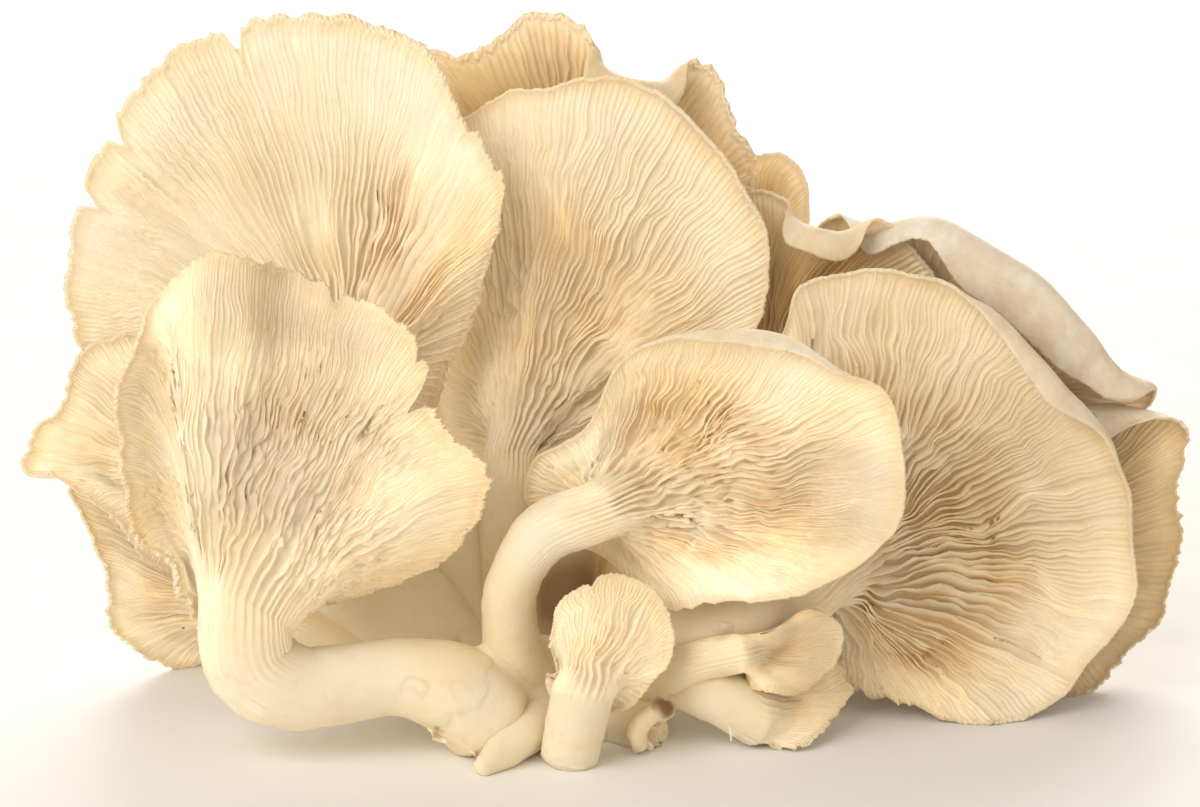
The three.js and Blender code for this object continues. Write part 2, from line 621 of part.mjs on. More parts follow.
// Everything below the resting surface, which flattens what lies on it.
function belowRest() {
  const box = new THREE.BoxGeometry(GROUND_WIDTH, GROUND_WIDTH, GROUND_DEPTH);
  box.translate(0, 0, REST_HEIGHT - GROUND_DEPTH / 2);
  return toSolid(positionsOnly(box));
}

// Each piece is cut clear of the ones before it.
function clusterMeshes() {
  const pieces = [
    { name: 'base_clump', colour: COLOURS.clump, shape: clumpSolid },
    { name: 'sprout_front', colour: COLOURS.flesh, shape: (extra) => toSolid(bareStem(SPROUT, extra)) },
    { name: 'cut_stub', colour: COLOURS.clump, shape: (extra) => toSolid(bareStem(STUB, extra)) },
    ...FRUIT_BODIES.map((body) => (
      { name: body.name, colour: COLOURS[body.colour], shape: (extra) => toSolid(fruitBody(body, extra)) }
    )),
  ];
  let taken = belowRest();
  return pieces.map(({ name, colour, shape }) => {
    const clear = shape(0).subtract(taken);
    const geometry = toGeometry(largestPiece(clear.simplify(EDGE_TOLERANCE)));
    taken = taken.add(shape(GAP));
    const material = new THREE.MeshStandardMaterial({ color: colour, roughness: 0.75, metalness: 0 });
    const mesh = new THREE.Mesh(geometry, material);
    mesh.name = name;
    return mesh;
  });
}

const cluster = new THREE.Group();
cluster.add(...clusterMeshes());

export default cluster;
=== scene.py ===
"""The looks of the mushroom cluster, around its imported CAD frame.

Every fruit body is one mesh: a stem, a fan of gills of several lengths and the cap's smooth
skin, worked out from the same few stem and rim points as its CAD solid. Lengths in the shape
code are millimetres in the CAD frame; MM turns them into Blender's metres.
"""
import math
from itertools import product

import bmesh
import bpy
import numpy as np
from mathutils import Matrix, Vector
from mathutils.kdtree import KDTree


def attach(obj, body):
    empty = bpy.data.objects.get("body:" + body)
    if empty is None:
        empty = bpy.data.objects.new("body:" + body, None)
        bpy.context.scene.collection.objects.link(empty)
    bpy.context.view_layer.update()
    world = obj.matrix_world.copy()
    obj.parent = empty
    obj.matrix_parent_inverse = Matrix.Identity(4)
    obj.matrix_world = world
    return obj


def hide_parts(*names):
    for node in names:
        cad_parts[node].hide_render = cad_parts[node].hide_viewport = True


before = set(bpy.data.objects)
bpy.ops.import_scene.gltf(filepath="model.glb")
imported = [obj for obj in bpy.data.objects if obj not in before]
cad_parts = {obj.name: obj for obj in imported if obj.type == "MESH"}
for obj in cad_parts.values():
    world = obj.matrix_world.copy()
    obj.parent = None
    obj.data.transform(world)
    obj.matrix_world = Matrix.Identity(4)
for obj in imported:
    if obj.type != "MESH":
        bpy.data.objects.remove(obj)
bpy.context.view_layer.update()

MM = 0.001

# A cap's form. v is a place on it: 0 at its stem's neck and 1 at its rim.
CROWN_BULGE = 1.5         # height of the smooth side's middle
CROWN_FLAT = 0.45         # share of the smooth side's middle that is nearly level
CLOSING_SLOPE = 0.3       # how far the smooth side runs on inwards before it turns to the middle
CLOSING_V = 0.4           # the smooth side closes over the hub from here inwards
BEHIND_V = 0.8            # and is kept behind the gilled side from here inwards
LEAST_BEHIND = 2.0        # by at least this much
FULL_REACH = 30           # a cap that reaches this far has its full thickness
LEAST_SHARE = 0.4         # and the smallest one has this share of it
THICKENING = 0.45         # the margin thickens over this share of the reach
NECK_FLARE = 0.35         # share of a cap's reach that runs on from the stem
MARGIN_REACH = 0.4        # and share that runs straight up to the rim
ROLL_RADIUS = 3.0
LEAST_ROLL = 20           # degrees that every margin turns in
LEAST_FLAP = 0.4          # length of the flap past the roll
ANGLE_SHARE = 0.6         # how much the places round the neck follow those round the rim
ROUND = 6.28              # a circle's length against its radius
RIM_THICKNESS = 0.8
CAP_THICKNESS = 3.6

# Gills
ORDER_STARTS = (0.0, 0.14, 0.34, 0.58)    # v where full-length and ever shorter gills start
NECK_SPACING = 1.35       # between full-length gills at the neck
LEAST_GILLS = 8
TIP_HALF = 0.30           # half of a gill's thickness at its free edge
ROOT_HALF = 0.40          # and where it leaves the cap
RIPPLE = 2.6              # wavelength of the zigzags near a rim
LEAST_FLESH = 0.9         # left between a hollow and the smooth side
LEAST_DEPTH = 0.1         # of a gap between gills
BARE_FLAKES = 2.0         # height of the flakes where gills were torn off
FLAKE_GILLS = 5           # torn flakes are this many gills wide
FULL_HOLLOW = 3.2         # a gap between gills this deep gets the darkest painted shade

# Stems and clump
STEM_ROW = 1.3            # length of a mesh row on a stem
NECK_TURN = 12            # a stem's rows turn to face along the cap's axis over this length
FOOT_REACH = 30           # the length of stem that melts into the clump
FOOT_SHARE = 0.45         # or this share of a short stem
SMALL_FOOT = 14           # the length that does so of the sprout and the stub
ROUNDED_FOOT = ((-0.4, 0.0), (-0.36, 0.4), (-0.25, 0.75))    # (reach, share of the radius)
ROUNDED_END = ((0.35, 0.9), (0.65, 0.66), (0.8, 0.35), (0.85, 0.0))
CLUMP_VOXEL = 1.0
LEAST_HEIGHT = 0.05       # just clear of the floor

# Mesh rows and columns
SECTIONS = 720            # places round the rim where a cap's form is worked out
GRID_ROWS = 48            # and rows of them
LOOK_UP_STEP = 3          # every third of the places is looked up by position
LOOK_UP_ROWS = 60
OUTER_V = 0.66            # from here to the rim the rows of gills can be closer
ROW_SPARE = 1.12          # rows are closer than stated by this, as gills aren't straight
ROLL_ROWS = 6
FLAP_ROWS = 2
RIM_TURNS = (50, 90, 130)                 # degrees round the rim's edge
SKIN_ROWS = 22            # of the smooth side
SPARSE_V = 0.35           # from here inwards it has half of the columns
STUB_ROWS = 16
STUB_COLUMNS = 72
SPROUT_COLUMNS = 40
FOOT_COLUMNS = 28
SMALL_FOOT_COLUMNS = 24
SCAR_COLUMNS = 24
STALK_COLUMNS = 16
CRUMB_COLUMNS = 10

# The stage, in metres
CAMERA_TARGET = (-0.0028, -0.004, 0.0626)
CAMERA_TILT = 15          # degrees downwards
CAMERA_DISTANCE = 0.9
CAMERA_LENS = 135         # on a sensor 36 wide
FLOOR_SIZE = 6
WORLD_COLOUR = (1.0, 0.93, 0.83, 1)
WORLD_STRENGTH = 0.48
LIGHT_COLOUR = (1.0, 0.99, 0.97)
LIGHT_TARGET = (0, 0, 0.06)
# name, place, size, power
LIGHTS = (
    ("key", (-0.70, -0.80, 0.80), 1.0, 9.0),
    ("fill", (0.3, -1.4, 0.35), 1.2, 2.4),
    ("back", (0.3, 2.7, 1.6), 2.5, 68.0),
)

# Slots of the fruit bodies that aren't pale
SLOTS = {
    "mushroom_top_back": "shaded_flesh",
    "small_cap_back": "shaded_flesh",
    "mushroom_middle_back": "shaded_flesh",
    "mushroom_right_back": "grey_flesh",
    "mushroom_far_right": "grey_flesh",
}

# What a look says, with lengths in millimetres and shares from 0 to 1:
# orders: how many lengths of gills there are. row, rim_row: length of a mesh row.
# height, neck_height, rim_height: of a gill in the cap's middle, at its neck and at its rim.
# sway, sway_size: how far gills wander together, and over what distance they turn back.
# loose: how far each wanders alone. lean, tilt: a gill's lean, by place and everywhere.
# ragged, flaky, broken: how uneven the gills' free edges are, at three sizes.
# flakes: height of torn flakes. outer_share: share of a gill's height left where it fades.
# comb: how far gills stand back from the rim. decurrent: how far gills run down the stem.
# teeth, uneven: depth of the margin's small teeth and of its broad recesses.
# wave, wave_size: height and breadth of the cap's waves.
# And in some looks, at the numbered rim points: relief, the gills' height against the usual;
# fading, the v past which they fade; wavy, their sway; zigzag; combed; toothed. splits are
# (rim point, depth, width), and bare places with torn gills are (x, y, z, radius, share left).
USUAL_LOOK = {
    "loose": 0.3, "broken": 0.35, "flakes": 0.0, "comb": 0.25, "orders": 4, "outer_share": 0.3,
    "row": 1.0, "rim_row": 1.0, "height": 2.6, "neck_height": 1.7, "rim_height": 0.4,
    "sway": 0.8, "sway_size": 9.0, "lean": 0.7, "tilt": 0.2, "ragged": 0.3, "flaky": 0.3,
    "decurrent": 14.0, "teeth": 0.4, "uneven": 0.4, "wave": 0.8, "wave_size": 16.0,
}
BODIES = [
    {
        "name": "mushroom_centre_front",
        "stem": [
            (-17.5, -23, 6, 7.5), (-20, -28, 18, 6.2), (-20, -33, 33.5, 5.3),
            (-13.5, -36, 45, 5.8), (-3, -34, 49, 6),
        ],
        "cap_axis": (0.65, 0.7, 0.15),
        "hub_depth": 7,
        "rim": [
            (-17, -21, 48), (-15, -22, 55.5), (-10, -24, 59), (-4.5, -27, 63.5), (-2, -28, 70),
            (1.5, -28, 76), (10, -27, 82), (20.5, -25, 84), (32, -26, 83.5), (43, -30, 77.5),
            (51.5, -33, 72), (54.5, -35, 62.5), (54.5, -38, 48.5), (47.5, -40, 41),
            (40, -41, 36.5), (31, -41, 33.5), (19.5, -38, 32.5), (10.5, -34, 30), (3, -26, 32.5),
            (-3, -21, 36.5), (-12, -19, 40),
        ],
        "rolls": {6: (60, 0.5), 7: (110, 1.4), 8: (140, 2.2), 9: (110, 1.2), 10: (30, 0)},
        "bends": {
            4: ((0, 4, 0), (0, 3, 0)), 5: ((0, 5, 0), (0, 4, 0)), 6: ((0, 6, 0), (0, 5, 0)),
            7: ((0, 5, 0), (0, 4, 0)), 8: ((0, 3, 0), (0, 3, 0)), 12: ((0, -3, 0), (0, -2, 0)),
            13: ((0, -3, 0), (0, -2, 0)),
        },
        "look": {
            "seed": 11, "outer_share": 0.5, "row": 0.85, "height": 2.5, "rim_height": 0.25,
            "sway": 1.3, "sway_size": 8.0, "lean": 0.8, "ragged": 0.6, "flaky": 0.9,
            "decurrent": 14.0, "teeth": 0.15, "bare": ((17.0, -32.0, 55.0, 15.0, 0.5),),
            "flakes": 0.25, "roll_radius": 1.8, "comb": 0.12,
            "relief": {
                0: 1.3, 1: 1.5, 2: 1.5, 3: 1.3, 4: 1.1, 5: 1.1, 6: 1.0, 7: 0.9, 8: 1.0, 9: 0.95,
                10: 0.85, 11: 0.8, 12: 0.8, 13: 0.8, 14: 0.85, 15: 0.9, 16: 1.0,
            },
            "uneven": 0.15,
            "toothed": {14: 0.4, 15: 0.4, 16: 0.5, 17: 0.5, 18: 0.5, 19: 0, 20: 0, 0: 0, 1: 0},
        },
    },
    {
        "name": "mushroom_left_front",
        "stem": [
            (-24.5, -34, 5.5, 9), (-31, -35, 12.5, 9.3), (-42, -35, 15.5, 7.8),
            (-53.5, -37, 14.5, 8), (-62, -39, 14.5, 8.6), (-70, -39.5, 19, 9.5),
            (-72, -38, 29.5, 10.2),
        ],
        "cap_axis": (0.42, 0.5, 0.76),
        "hub_depth": 9,
        "rim": [
            (-84, -34, 32.5), (-90, -37, 39), (-94.5, -40, 49), (-95.5, -40, 61),
            (-95.5, -38, 73.5), (-91.5, -34, 81.5), (-88, -30, 90), (-84, -28, 95),
            (-77.5, -26, 99), (-70.5, -27, 97), (-63.5, -21, 93.5), (-55, -25, 92),
            (-44.5, -30, 88), (-38.5, -34, 81.5), (-35.5, -36, 73.5), (-32.5, -39, 66.5),
            (-24.5, -41, 59.5), (-25.5, -39, 50), (-31.5, -34, 41), (-45, -30, 31.5),
            (-53, -28, 28), (-62, -24, 26.5), (-70, -20, 20), (-79.5, -22, 19),
        ],
        "bends": {
            1: ((-2, 2, 2), (2, 10, 2)), 2: ((-3, -1, 5), (0, 15, 6)),
            3: ((-5, -2, 7), (-1, 16, 10)), 4: ((-8, -5, 12), (-2, 15, 13)),
            5: ((-9, -8, 13), (-3, 10, 13)), 6: ((-10, -12, 9), (-5, -3, 9)),
            7: ((-12, -15, 2), (-7, -16, 4)), 8: ((-9, -15, 1), (-7, -17, 7)),
            9: ((-7, -15, 0), (0, -17, 8)), 10: ((-5, -14, 0), (3, -18, 6)),
            11: ((-3, -13, 0), (3, -17, 5)), 12: ((-2, -12, 0), (2, -15, 5)),
            13: ((0, -11, 0), (0, -13, 4)), 14: ((0, -10, 0), (-2, -12, 4)),
            15: ((0, -10, 0), (-3, -11, 4)), 16: ((0, -10, 0), (-4, -11, 5)),
            17: ((0, -10, 0), (-4, -10, 4)), 18: ((0, -10, 0), (0, -9, 2)),
            19: ((0, -8, 0), (0, -7, 2)), 20: ((0, -5, 0), (0, -5, 2)),
            21: ((0, -2, 0), (0, -2, 1)),
        },
        "look": {
            "seed": 23, "flakes": 0.9, "loose": 0.45, "broken": 0.7, "comb": 0.45, "row": 1.0,
            "height": 1.4, "neck_height": 0.8, "sway": 1.1, "sway_size": 10.0, "lean": 0.8,
            "tilt": 0.8, "ragged": 0.8, "flaky": 0.8, "decurrent": 26.0, "teeth": 0.8,
            "splits": ((11.1, 3.5, 1.2), (13.2, 2.5, 1.0), (14.0, 6.0, 1.6)),
            "relief": {2: 0.5, 3: 0.4, 4: 0.4, 5: 0.5, 6: 0.6, 7: 0.8},
        },
    },
    {
        "name": "button_front",
        "stem": [
            (-8.5, -42, 1.5, 5.7), (-7.5, -43.5, 9, 5.9), (-6, -45, 16, 6.1),
        ],
        "cap_axis": (0.25, 0.55, 0.8),
        "hub_depth": 4,
        "rim": [
            (-11.5, -43, 20), (-12, -45, 26), (-11, -44, 31), (-6.5, -43, 35), (-1.5, -41, 37),
            (5, -40, 35), (9.5, -41, 30), (10.5, -43, 23.5), (8, -45, 19), (4, -43, 14.5),
            (-0.5, -39, 11.5), (-5, -36, 11), (-9.5, -38, 13.5),
        ],
        "bends": {
            2: ((0, -2, 0), (0, -2, 0)), 3: ((0, -3, 0), (0, -3, 0)), 4: ((0, -4, 0), (0, -3, 0)),
            5: ((0, -4, 0), (0, -3, 0)), 6: ((0, -4, 0), (0, -3, 0)), 7: ((0, -3, 0), (0, -2, 0)),
            8: ((0, -1, 0), (0, -1, 0)),
        },
        "look": {
            "seed": 31, "loose": 0.4, "broken": 0.6, "orders": 3, "row": 0.7, "rim_row": 0.7,
            "height": 1.5, "neck_height": 1.1, "sway": 1.1, "sway_size": 5.0, "flaky": 0.6,
            "decurrent": 5.0, "teeth": 0.2, "uneven": 0.2, "wave": 1.3, "wave_size": 6.0,
            "tilt": 0.6, "splits": ((3.4, 1.3, 0.7),),
        },
    },
    {
        "name": "mushroom_right_front",
        "stem": [
            (-0.5, -12, 2, 7.5), (9, -23, 18.5, 6.6), (22, -25, 22, 6.2), (34, -17, 23, 6.4),
            (41.5, -7, 26, 6.5),
        ],
        "cap_axis": (0.6, 0.75, 0.25),
        "hub_depth": 10,
        "rim": [
            (35, -2, 79), (37.5, 0, 85), (47, 2, 87.5), (64, 2, 87), (79, 0, 80), (90.5, -2, 68),
            (101, -3, 56), (103.5, -5, 38.5), (103.5, -8, 21.5), (96, -11, 11.5), (86, -15, 3),
            (74, -19, 0), (60, -16, 2.5), (49, -12, 4.5), (44, -6, 10.5), (38, 2, 16.5),
            (32, 8, 30.5), (29.5, 8, 49.5), (31, 3, 67.5),
        ],
        "rolls": {3: (50, 0.3), 4: (120, 1.6), 5: (140, 2.2), 6: (90, 1.0), 7: (30, 0)},
        "bends": {
            2: ((0, 4, 0), (0, 4, 0)), 3: ((0, 5, 0), (0, 5, 0)), 4: ((0, 6, 0), (0, 6, 0)),
            5: ((0, 6, 0), (0, 6, 0)), 6: ((0, 6, 0), (0, 5, 0)), 7: ((0, 5, 0), (0, 5, 0)),
            8: ((0, 4, 0), (0, 3, 0)), 9: ((0, 3, 0), (0, 2, 0)),
        },
        "look": {
            "seed": 43, "roll_radius": 2.2, "row": 1.0, "broken": 0.5, "flakes": 0.2, "comb": 0.15,
            "combed": {11: 0.7, 12: 0.9, 13: 0.9, 14: 0.6}, "height": 3.0, "sway": 1.3,
            "sway_size": 9.0, "lean": 0.9, "tilt": 0.4, "decurrent": 18.0, "teeth": 0.15,
            "toothed": {11: 0.5, 12: 1.1, 13: 1.2, 14: 0.7},
        },
    },
    {
        "name": "small_cap_right",
        "stem": [
            (4.5, -23, 8, 4.6), (14, -31, 16.5, 4.4), (23.5, -34.5, 20, 4.0),
        ],
        "cap_axis": (0.8, 0.6, 0.0),
        "hub_depth": 4,
        "rim": [
            (27, -28, 20), (31.5, -29, 23.5), (36.5, -29, 26.5), (41, -28, 25.5), (44, -28, 21.5),
            (43.5, -29, 17.5), (40.5, -31, 14.5), (37.5, -34, 13), (33.5, -36, 12.5),
            (28.5, -35, 13.5), (26, -30, 15),
        ],
        "look": {
            "seed": 53, "orders": 3, "row": 0.8, "rim_row": 0.8, "spacing": 0.9, "height": 1.7,
            "neck_height": 0.6, "decurrent": 3.0, "outer_share": 0.6, "teeth": 0.3, "uneven": 0.2,
        },
    },
    {
        "name": "trumpet_right",
        "stem": [
            (3, -20, 5.5, 5.2), (10.5, -25, 10.5, 5.0), (19.5, -30, 10.5, 5.8),
            (27, -32, 6.5, 6.0),
        ],
        "cap_axis": (0.8, 0.55, -0.2),
        "hub_depth": 4,
        "rim": [
            (34.5, -22, 8.5), (40, -20, 11), (44.5, -19, 12), (47, -21, 8.5), (45.5, -25, 6),
            (42.5, -29, 4), (39, -33, 2.5), (34.5, -36, 1), (30.5, -33, 0), (29.5, -24, 0),
            (31.5, -17, 1.5),
        ],
        "look": {
            "seed": 61, "orders": 3, "row": 0.8, "rim_row": 0.8, "height": 1.2, "neck_height": 0.4,
            "decurrent": 3.0, "teeth": 1.1,
            "relief": {5: 0.5, 6: 0.35, 7: 0.3, 8: 0.3, 9: 0.3, 10: 0.6}, "uneven": 0.3,
        },
    },
    {
        "name": "mushroom_left_back",
        "stem": [
            (-25.5, -2, -0.5, 8), (-30, 2, 15.5, 7.4), (-32.5, 5, 30.5, 7.2), (-38.5, 7, 45.5, 7),
            (-48, 8.5, 57.5, 7), (-54.5, 9, 61, 7),
        ],
        "cap_axis": (-0.15, 0.75, 0.65),
        "hub_depth": 9,
        "rim": [
            (-108, 16, 68.5), (-110.5, 14, 81.5), (-108, 14, 97), (-101, 14, 114.5),
            (-90, 15, 128.5), (-75, 17, 135), (-57, 18, 137), (-39, 17, 131), (-31, 12, 119),
            (-22.5, 4, 105.5), (-25, 5, 91), (-29, 10, 76.5), (-35.5, 16, 62), (-42, 25, 45),
            (-61.5, 31, 37), (-83, 31, 41.5), (-101, 23, 55),
        ],
        "bends": {
            2: ((0, 2, 0), (0, 3, 0)), 5: ((0, 2, 0), (0, 3, 0)), 9: ((0, -3, 0), (0, -5, 0)),
            10: ((0, -4, 0), (0, -6, 0)), 11: ((0, -2, 0), (0, -3, 0)),
        },
        "look": {
            "seed": 71, "rim_row": 0.75, "height": 2.4, "sway": 0.7, "sway_size": 10.0,
            "teeth": 0.8, "outer_share": 0.3, "comb": 0.4, "combed": {6: 0.8, 7: 0.8, 8: 0.7},
            "splits": ((4.9, 6.5, 1.0), (3.0, 3.6, 1.2), (2.2, 3.4, 1.2)),
            "relief": {
                0: 0.35, 1: 0.2, 2: 0.12, 3: 0.12, 4: 0.2, 5: 0.5, 6: 0.7, 7: 0.9, 8: 1.0,
                14: 0.8, 15: 0.4, 16: 0.3,
            },
            "fading": {2: 0.3, 3: 0.25, 4: 0.25, 5: 0.3, 6: 0.35, 7: 0.5, 8: 0.8},
            "wavy": {0: 0.5, 1: 0.5, 2: 0.5, 3: 0.5, 4: 0.6, 5: 0.6},
            "zigzag": {0: 0.8, 1: 0.8, 2: 0.8, 3: 0.7, 4: 0.4, 16: 0.6},
        },
    },
    {
        "name": "mushroom_centre_back",
        "stem": [
            (-20, 0, -1.5, 7.5), (-23, 1, 15.5, 6.2), (-22.5, 3, 30, 5.6), (-21.5, 4, 40, 5.4),
            (-21.5, 6, 47.5, 5.4),
        ],
        "cap_axis": (0.25, 0.75, 0.6),
        "hub_depth": 9,
        "rim": [
            (-29.5, 24, 114), (-23, 20, 119.5), (-13, 16, 122), (1, 16, 124), (15.5, 15, 117),
            (25.5, 13, 104.5), (30.5, 10, 88.5), (29, 8, 77), (20.5, 8, 64.5), (5.5, 9, 54.5),
            (-11, 10, 48), (-19.5, 16, 44), (-27.5, 23, 41.5), (-35, 28, 46.5), (-38, 30, 65),
            (-36, 29, 88.5), (-33.5, 27, 103.5),
        ],
        "rolls": {3: (40, 0.5), 4: (70, 0.8), 5: (60, 0.6)},
        "bends": {
            6: ((0, -4, 0), (0, -3, 0)), 8: ((0, -3, 0), (0, -2, 0)),
        },
        "look": {
            "seed": 83, "row": 1.1, "height": 1.95, "loose": 0.45, "broken": 0.7, "flakes": 0.35,
            "comb": 0.2, "sway": 1.1, "sway_size": 9.0, "teeth": 0.35, "decurrent": 10.0,
            "flaky": 0.6, "ragged": 0.5, "zigzag": {0: 0.8, 1: 0.8, 16: 0.6},
            "relief": {15: 0.6, 16: 0.6, 0: 0.7, 12: 0.8, 13: 0.7, 14: 0.6},
        },
    },
    {
        "name": "mushroom_middle_back",
        "stem": [
            (-11, 2, -1, 6), (5.5, 10, 17, 5.5), (20, 16, 43, 5), (30.5, 18, 65.5, 5.2),
        ],
        "cap_axis": (0.2, 0.75, 0.6),
        "hub_depth": 7,
        "rim": [
            (28, 25, 98.5), (34.5, 22, 97.5), (40, 18, 95), (45.5, 16, 94.5), (52.5, 18, 95),
            (58, 18, 90.5), (64, 18, 84), (65, 19, 75), (57.5, 21, 64), (44.5, 23, 56),
            (29, 25, 57.5), (20.5, 28, 69.5), (22, 28, 87.5),
        ],
        "rolls": {1: (40, 0.5), 2: (140, 2.6), 3: (140, 2.8), 4: (40, 0.3)},
        "look": {
            "seed": 97, "orders": 3, "spacing": 1.1, "row": 1.3, "rim_row": 1.2, "height": 2.0,
            "teeth": 0.3,
        },
    },
    {
        "name": "mushroom_right_back",
        "stem": [
            (-6, 4, -2.5, 6.5), (13.5, 14, 11.5, 6.2), (36.5, 23, 26, 5.8), (57.5, 26, 46.5, 6),
        ],
        "cap_axis": (0.35, 0.75, 0.5),
        "hub_depth": 9,
        "rim": [
            (46.5, 27, 94.5), (54.5, 24, 94.5), (65.5, 18, 97.5), (78, 14, 91.5), (88.5, 13, 85),
            (98.5, 13, 74.5), (105, 14, 65.5), (110.5, 16, 61.5), (107.5, 23, 52), (103.5, 29, 37),
            (92, 34, 18.5), (71.5, 39, 8), (50.5, 42, 16), (38.5, 42, 38), (36, 38, 65),
            (40, 31, 85),
        ],
        "rolls": {0: (60, 1), 1: (140, 3), 2: (120, 3), 3: (165, 6), 4: (165, 6.5),
                  5: (160, 5.5), 6: (140, 3), 7: (60, 0.5)},
        "look": {
            "seed": 101, "orders": 3, "row": 1.4, "rim_row": 1.2, "height": 2.2, "teeth": 0.3,
        },
    },
    {
        "name": "mushroom_far_right",
        "stem": [
            (-3, 0, -2.5, 6.5), (22, 7, 2.5, 6), (51, 12, 7.5, 5.6), (74, 13, 18, 6),
        ],
        "cap_axis": (0.6, 0.75, 0.2),
        "hub_depth": 8,
        "rim": [
            (101, 20, 56.5), (109.5, 16, 56.5), (116.5, 12, 54.5), (116, 13, 47),
            (115.5, 14, 38.5), (116.5, 14, 27.5), (114, 13, 20.5), (112, 11, 13), (105.5, 7, 7),
            (98.5, 2, 1.5), (91, -2, 0), (80.5, 4, 0), (65.5, 14, 0.5), (58.5, 23, 13),
            (66, 29, 35), (82, 27, 49.5),
        ],
        "rolls": {0: (120, 2), 1: (160, 7), 2: (70, 1)},
        "look": {
            "seed": 113, "orders": 3, "spacing": 1.0, "row": 1.5, "rim_row": 1.3, "height": 2.2,
            "teeth": 0.8,
        },
    },
    {
        "name": "mushroom_far_left",
        "stem": [
            (-26, -5, 2, 8), (-33, -6, 10.5, 8.6), (-41.5, -4, 19, 10.2), (-57.5, 0, 27, 8.6),
            (-79.5, 1, 41, 5.6),
        ],
        "cap_axis": (-0.5, 0.75, 0.35),
        "hub_depth": 7,
        "rim": [
            (-98, 10, 73), (-84, 13, 67.5), (-73.5, 15, 52), (-74.5, 15, 31.5), (-84, 12, 22),
            (-94.5, 6, 27), (-100, 2, 36.5), (-107, -1, 43.5), (-112.5, -3, 47.5),
            (-118.5, -4, 48.5), (-116, -1, 55), (-112, 3, 58.5), (-109.5, 5, 63.5), (-107, 8, 70),
        ],
        "look": {
            "seed": 127, "row": 1.2, "rim_row": 1.0, "height": 1.5, "neck_height": 1.2,
            "sway": 1.0, "teeth": 0.6,
        },
    },
    {
        "name": "mushroom_low_left",
        "stem": [
            (-26.5, 2, -3, 6), (-42, 6, 3, 5.6), (-58.5, 10, 9, 5.6), (-73.5, 12, 14, 5.2),
        ],
        "cap_axis": (-0.5, 0.75, 0.3),
        "hub_depth": 7,
        "rim": [
            (-102, 23, 45.5), (-83.5, 31, 39), (-66, 33, 21), (-64, 30, 2), (-78, 23, 0),
            (-88.5, 18, 0), (-94.5, 14, 2.5), (-97.5, 10, 6.5), (-103, 7, 13), (-102.5, 6, 20.5),
            (-104.5, 8, 27.5), (-108, 11, 33.5), (-111, 14, 39),
        ],
        "look": {
            "seed": 131, "row": 1.4, "rim_row": 1.2, "height": 1.8, "sway": 1.2, "teeth": 0.7,
        },
    },
    {
        "name": "mushroom_top_back",
        "stem": [
            (-18.5, 8, -2, 6.5), (-10, 18, 23, 7), (-8.5, 26, 51, 6), (-6, 29, 73.5, 6),
        ],
        "cap_axis": (-0.05, 0.75, 0.6),
        "hub_depth": 8,
        "rim": [
            (-38.5, 36, 126), (-30.5, 33, 126), (-24.5, 33, 128.5), (-18, 33, 134),
            (-8, 31, 133.5), (-3, 29, 130), (0, 27, 126), (8.5, 29, 123.5), (15.5, 33, 125),
            (22, 33, 120), (25, 31, 112), (28.5, 31, 105), (26.5, 34, 89.5), (20, 41, 62),
            (5.5, 45, 43.5), (-15.5, 47, 41), (-36.5, 47, 65), (-44.5, 44, 100), (-44, 40, 118),
        ],
        "rolls": {5: (60, 0.5), 6: (140, 2.6), 7: (140, 2.2), 8: (40, 0)},
        "look": {
            "seed": 149, "orders": 3, "spacing": 0.9, "comb": 0.9, "row": 1.6, "rim_row": 1.4,
            "height": 1.6, "teeth": 0.9,
        },
    },
    {
        "name": "small_cap_back",
        "stem": [
            (-11, 14, -4, 5), (5.5, 30, 32.5, 4.5), (18, 38, 63, 4.2), (27, 40, 81.5, 4.5),
        ],
        "cap_axis": (0.1, 0.8, 0.5),
        "hub_depth": 5,
        "rim": [
            (26.5, 42, 101.5), (34.5, 42, 102.5), (38.5, 41, 99.5), (39.5, 40, 93.5),
            (39.5, 43, 74.5), (31, 46, 62.5), (18.5, 48, 64.5), (15.5, 48, 82), (19.5, 46, 95.5),
        ],
        "look": {
            "seed": 151, "orders": 3, "row": 1.5, "rim_row": 1.4, "height": 1.6, "teeth": 0.3,
        },
    },
]
SPROUT = [
    (-11.5, -24, 3.5, 5.6), (-17, -36, 5, 4.8), (-22, -44, 3, 3.5), (-25.5, -48.5, 1.5, 2.0),
]
STUB = [
    (-3, -18, 1.5, 7), (2, -25, 2.5, 6.5), (7.5, -31, 3.5, 5),
]
CLUMP_LOBES = [
    (-15.5, -12, 2, 13, 15, 14),
    (-7.5, 2, -3.5, 20, 20, 14),
    (-19.5, 6, -5, 17, 17, 14),
    (-4.5, -18, 2, 13, 12, 10),
    (-14.5, 18, -7.5, 20, 12, 11),
]
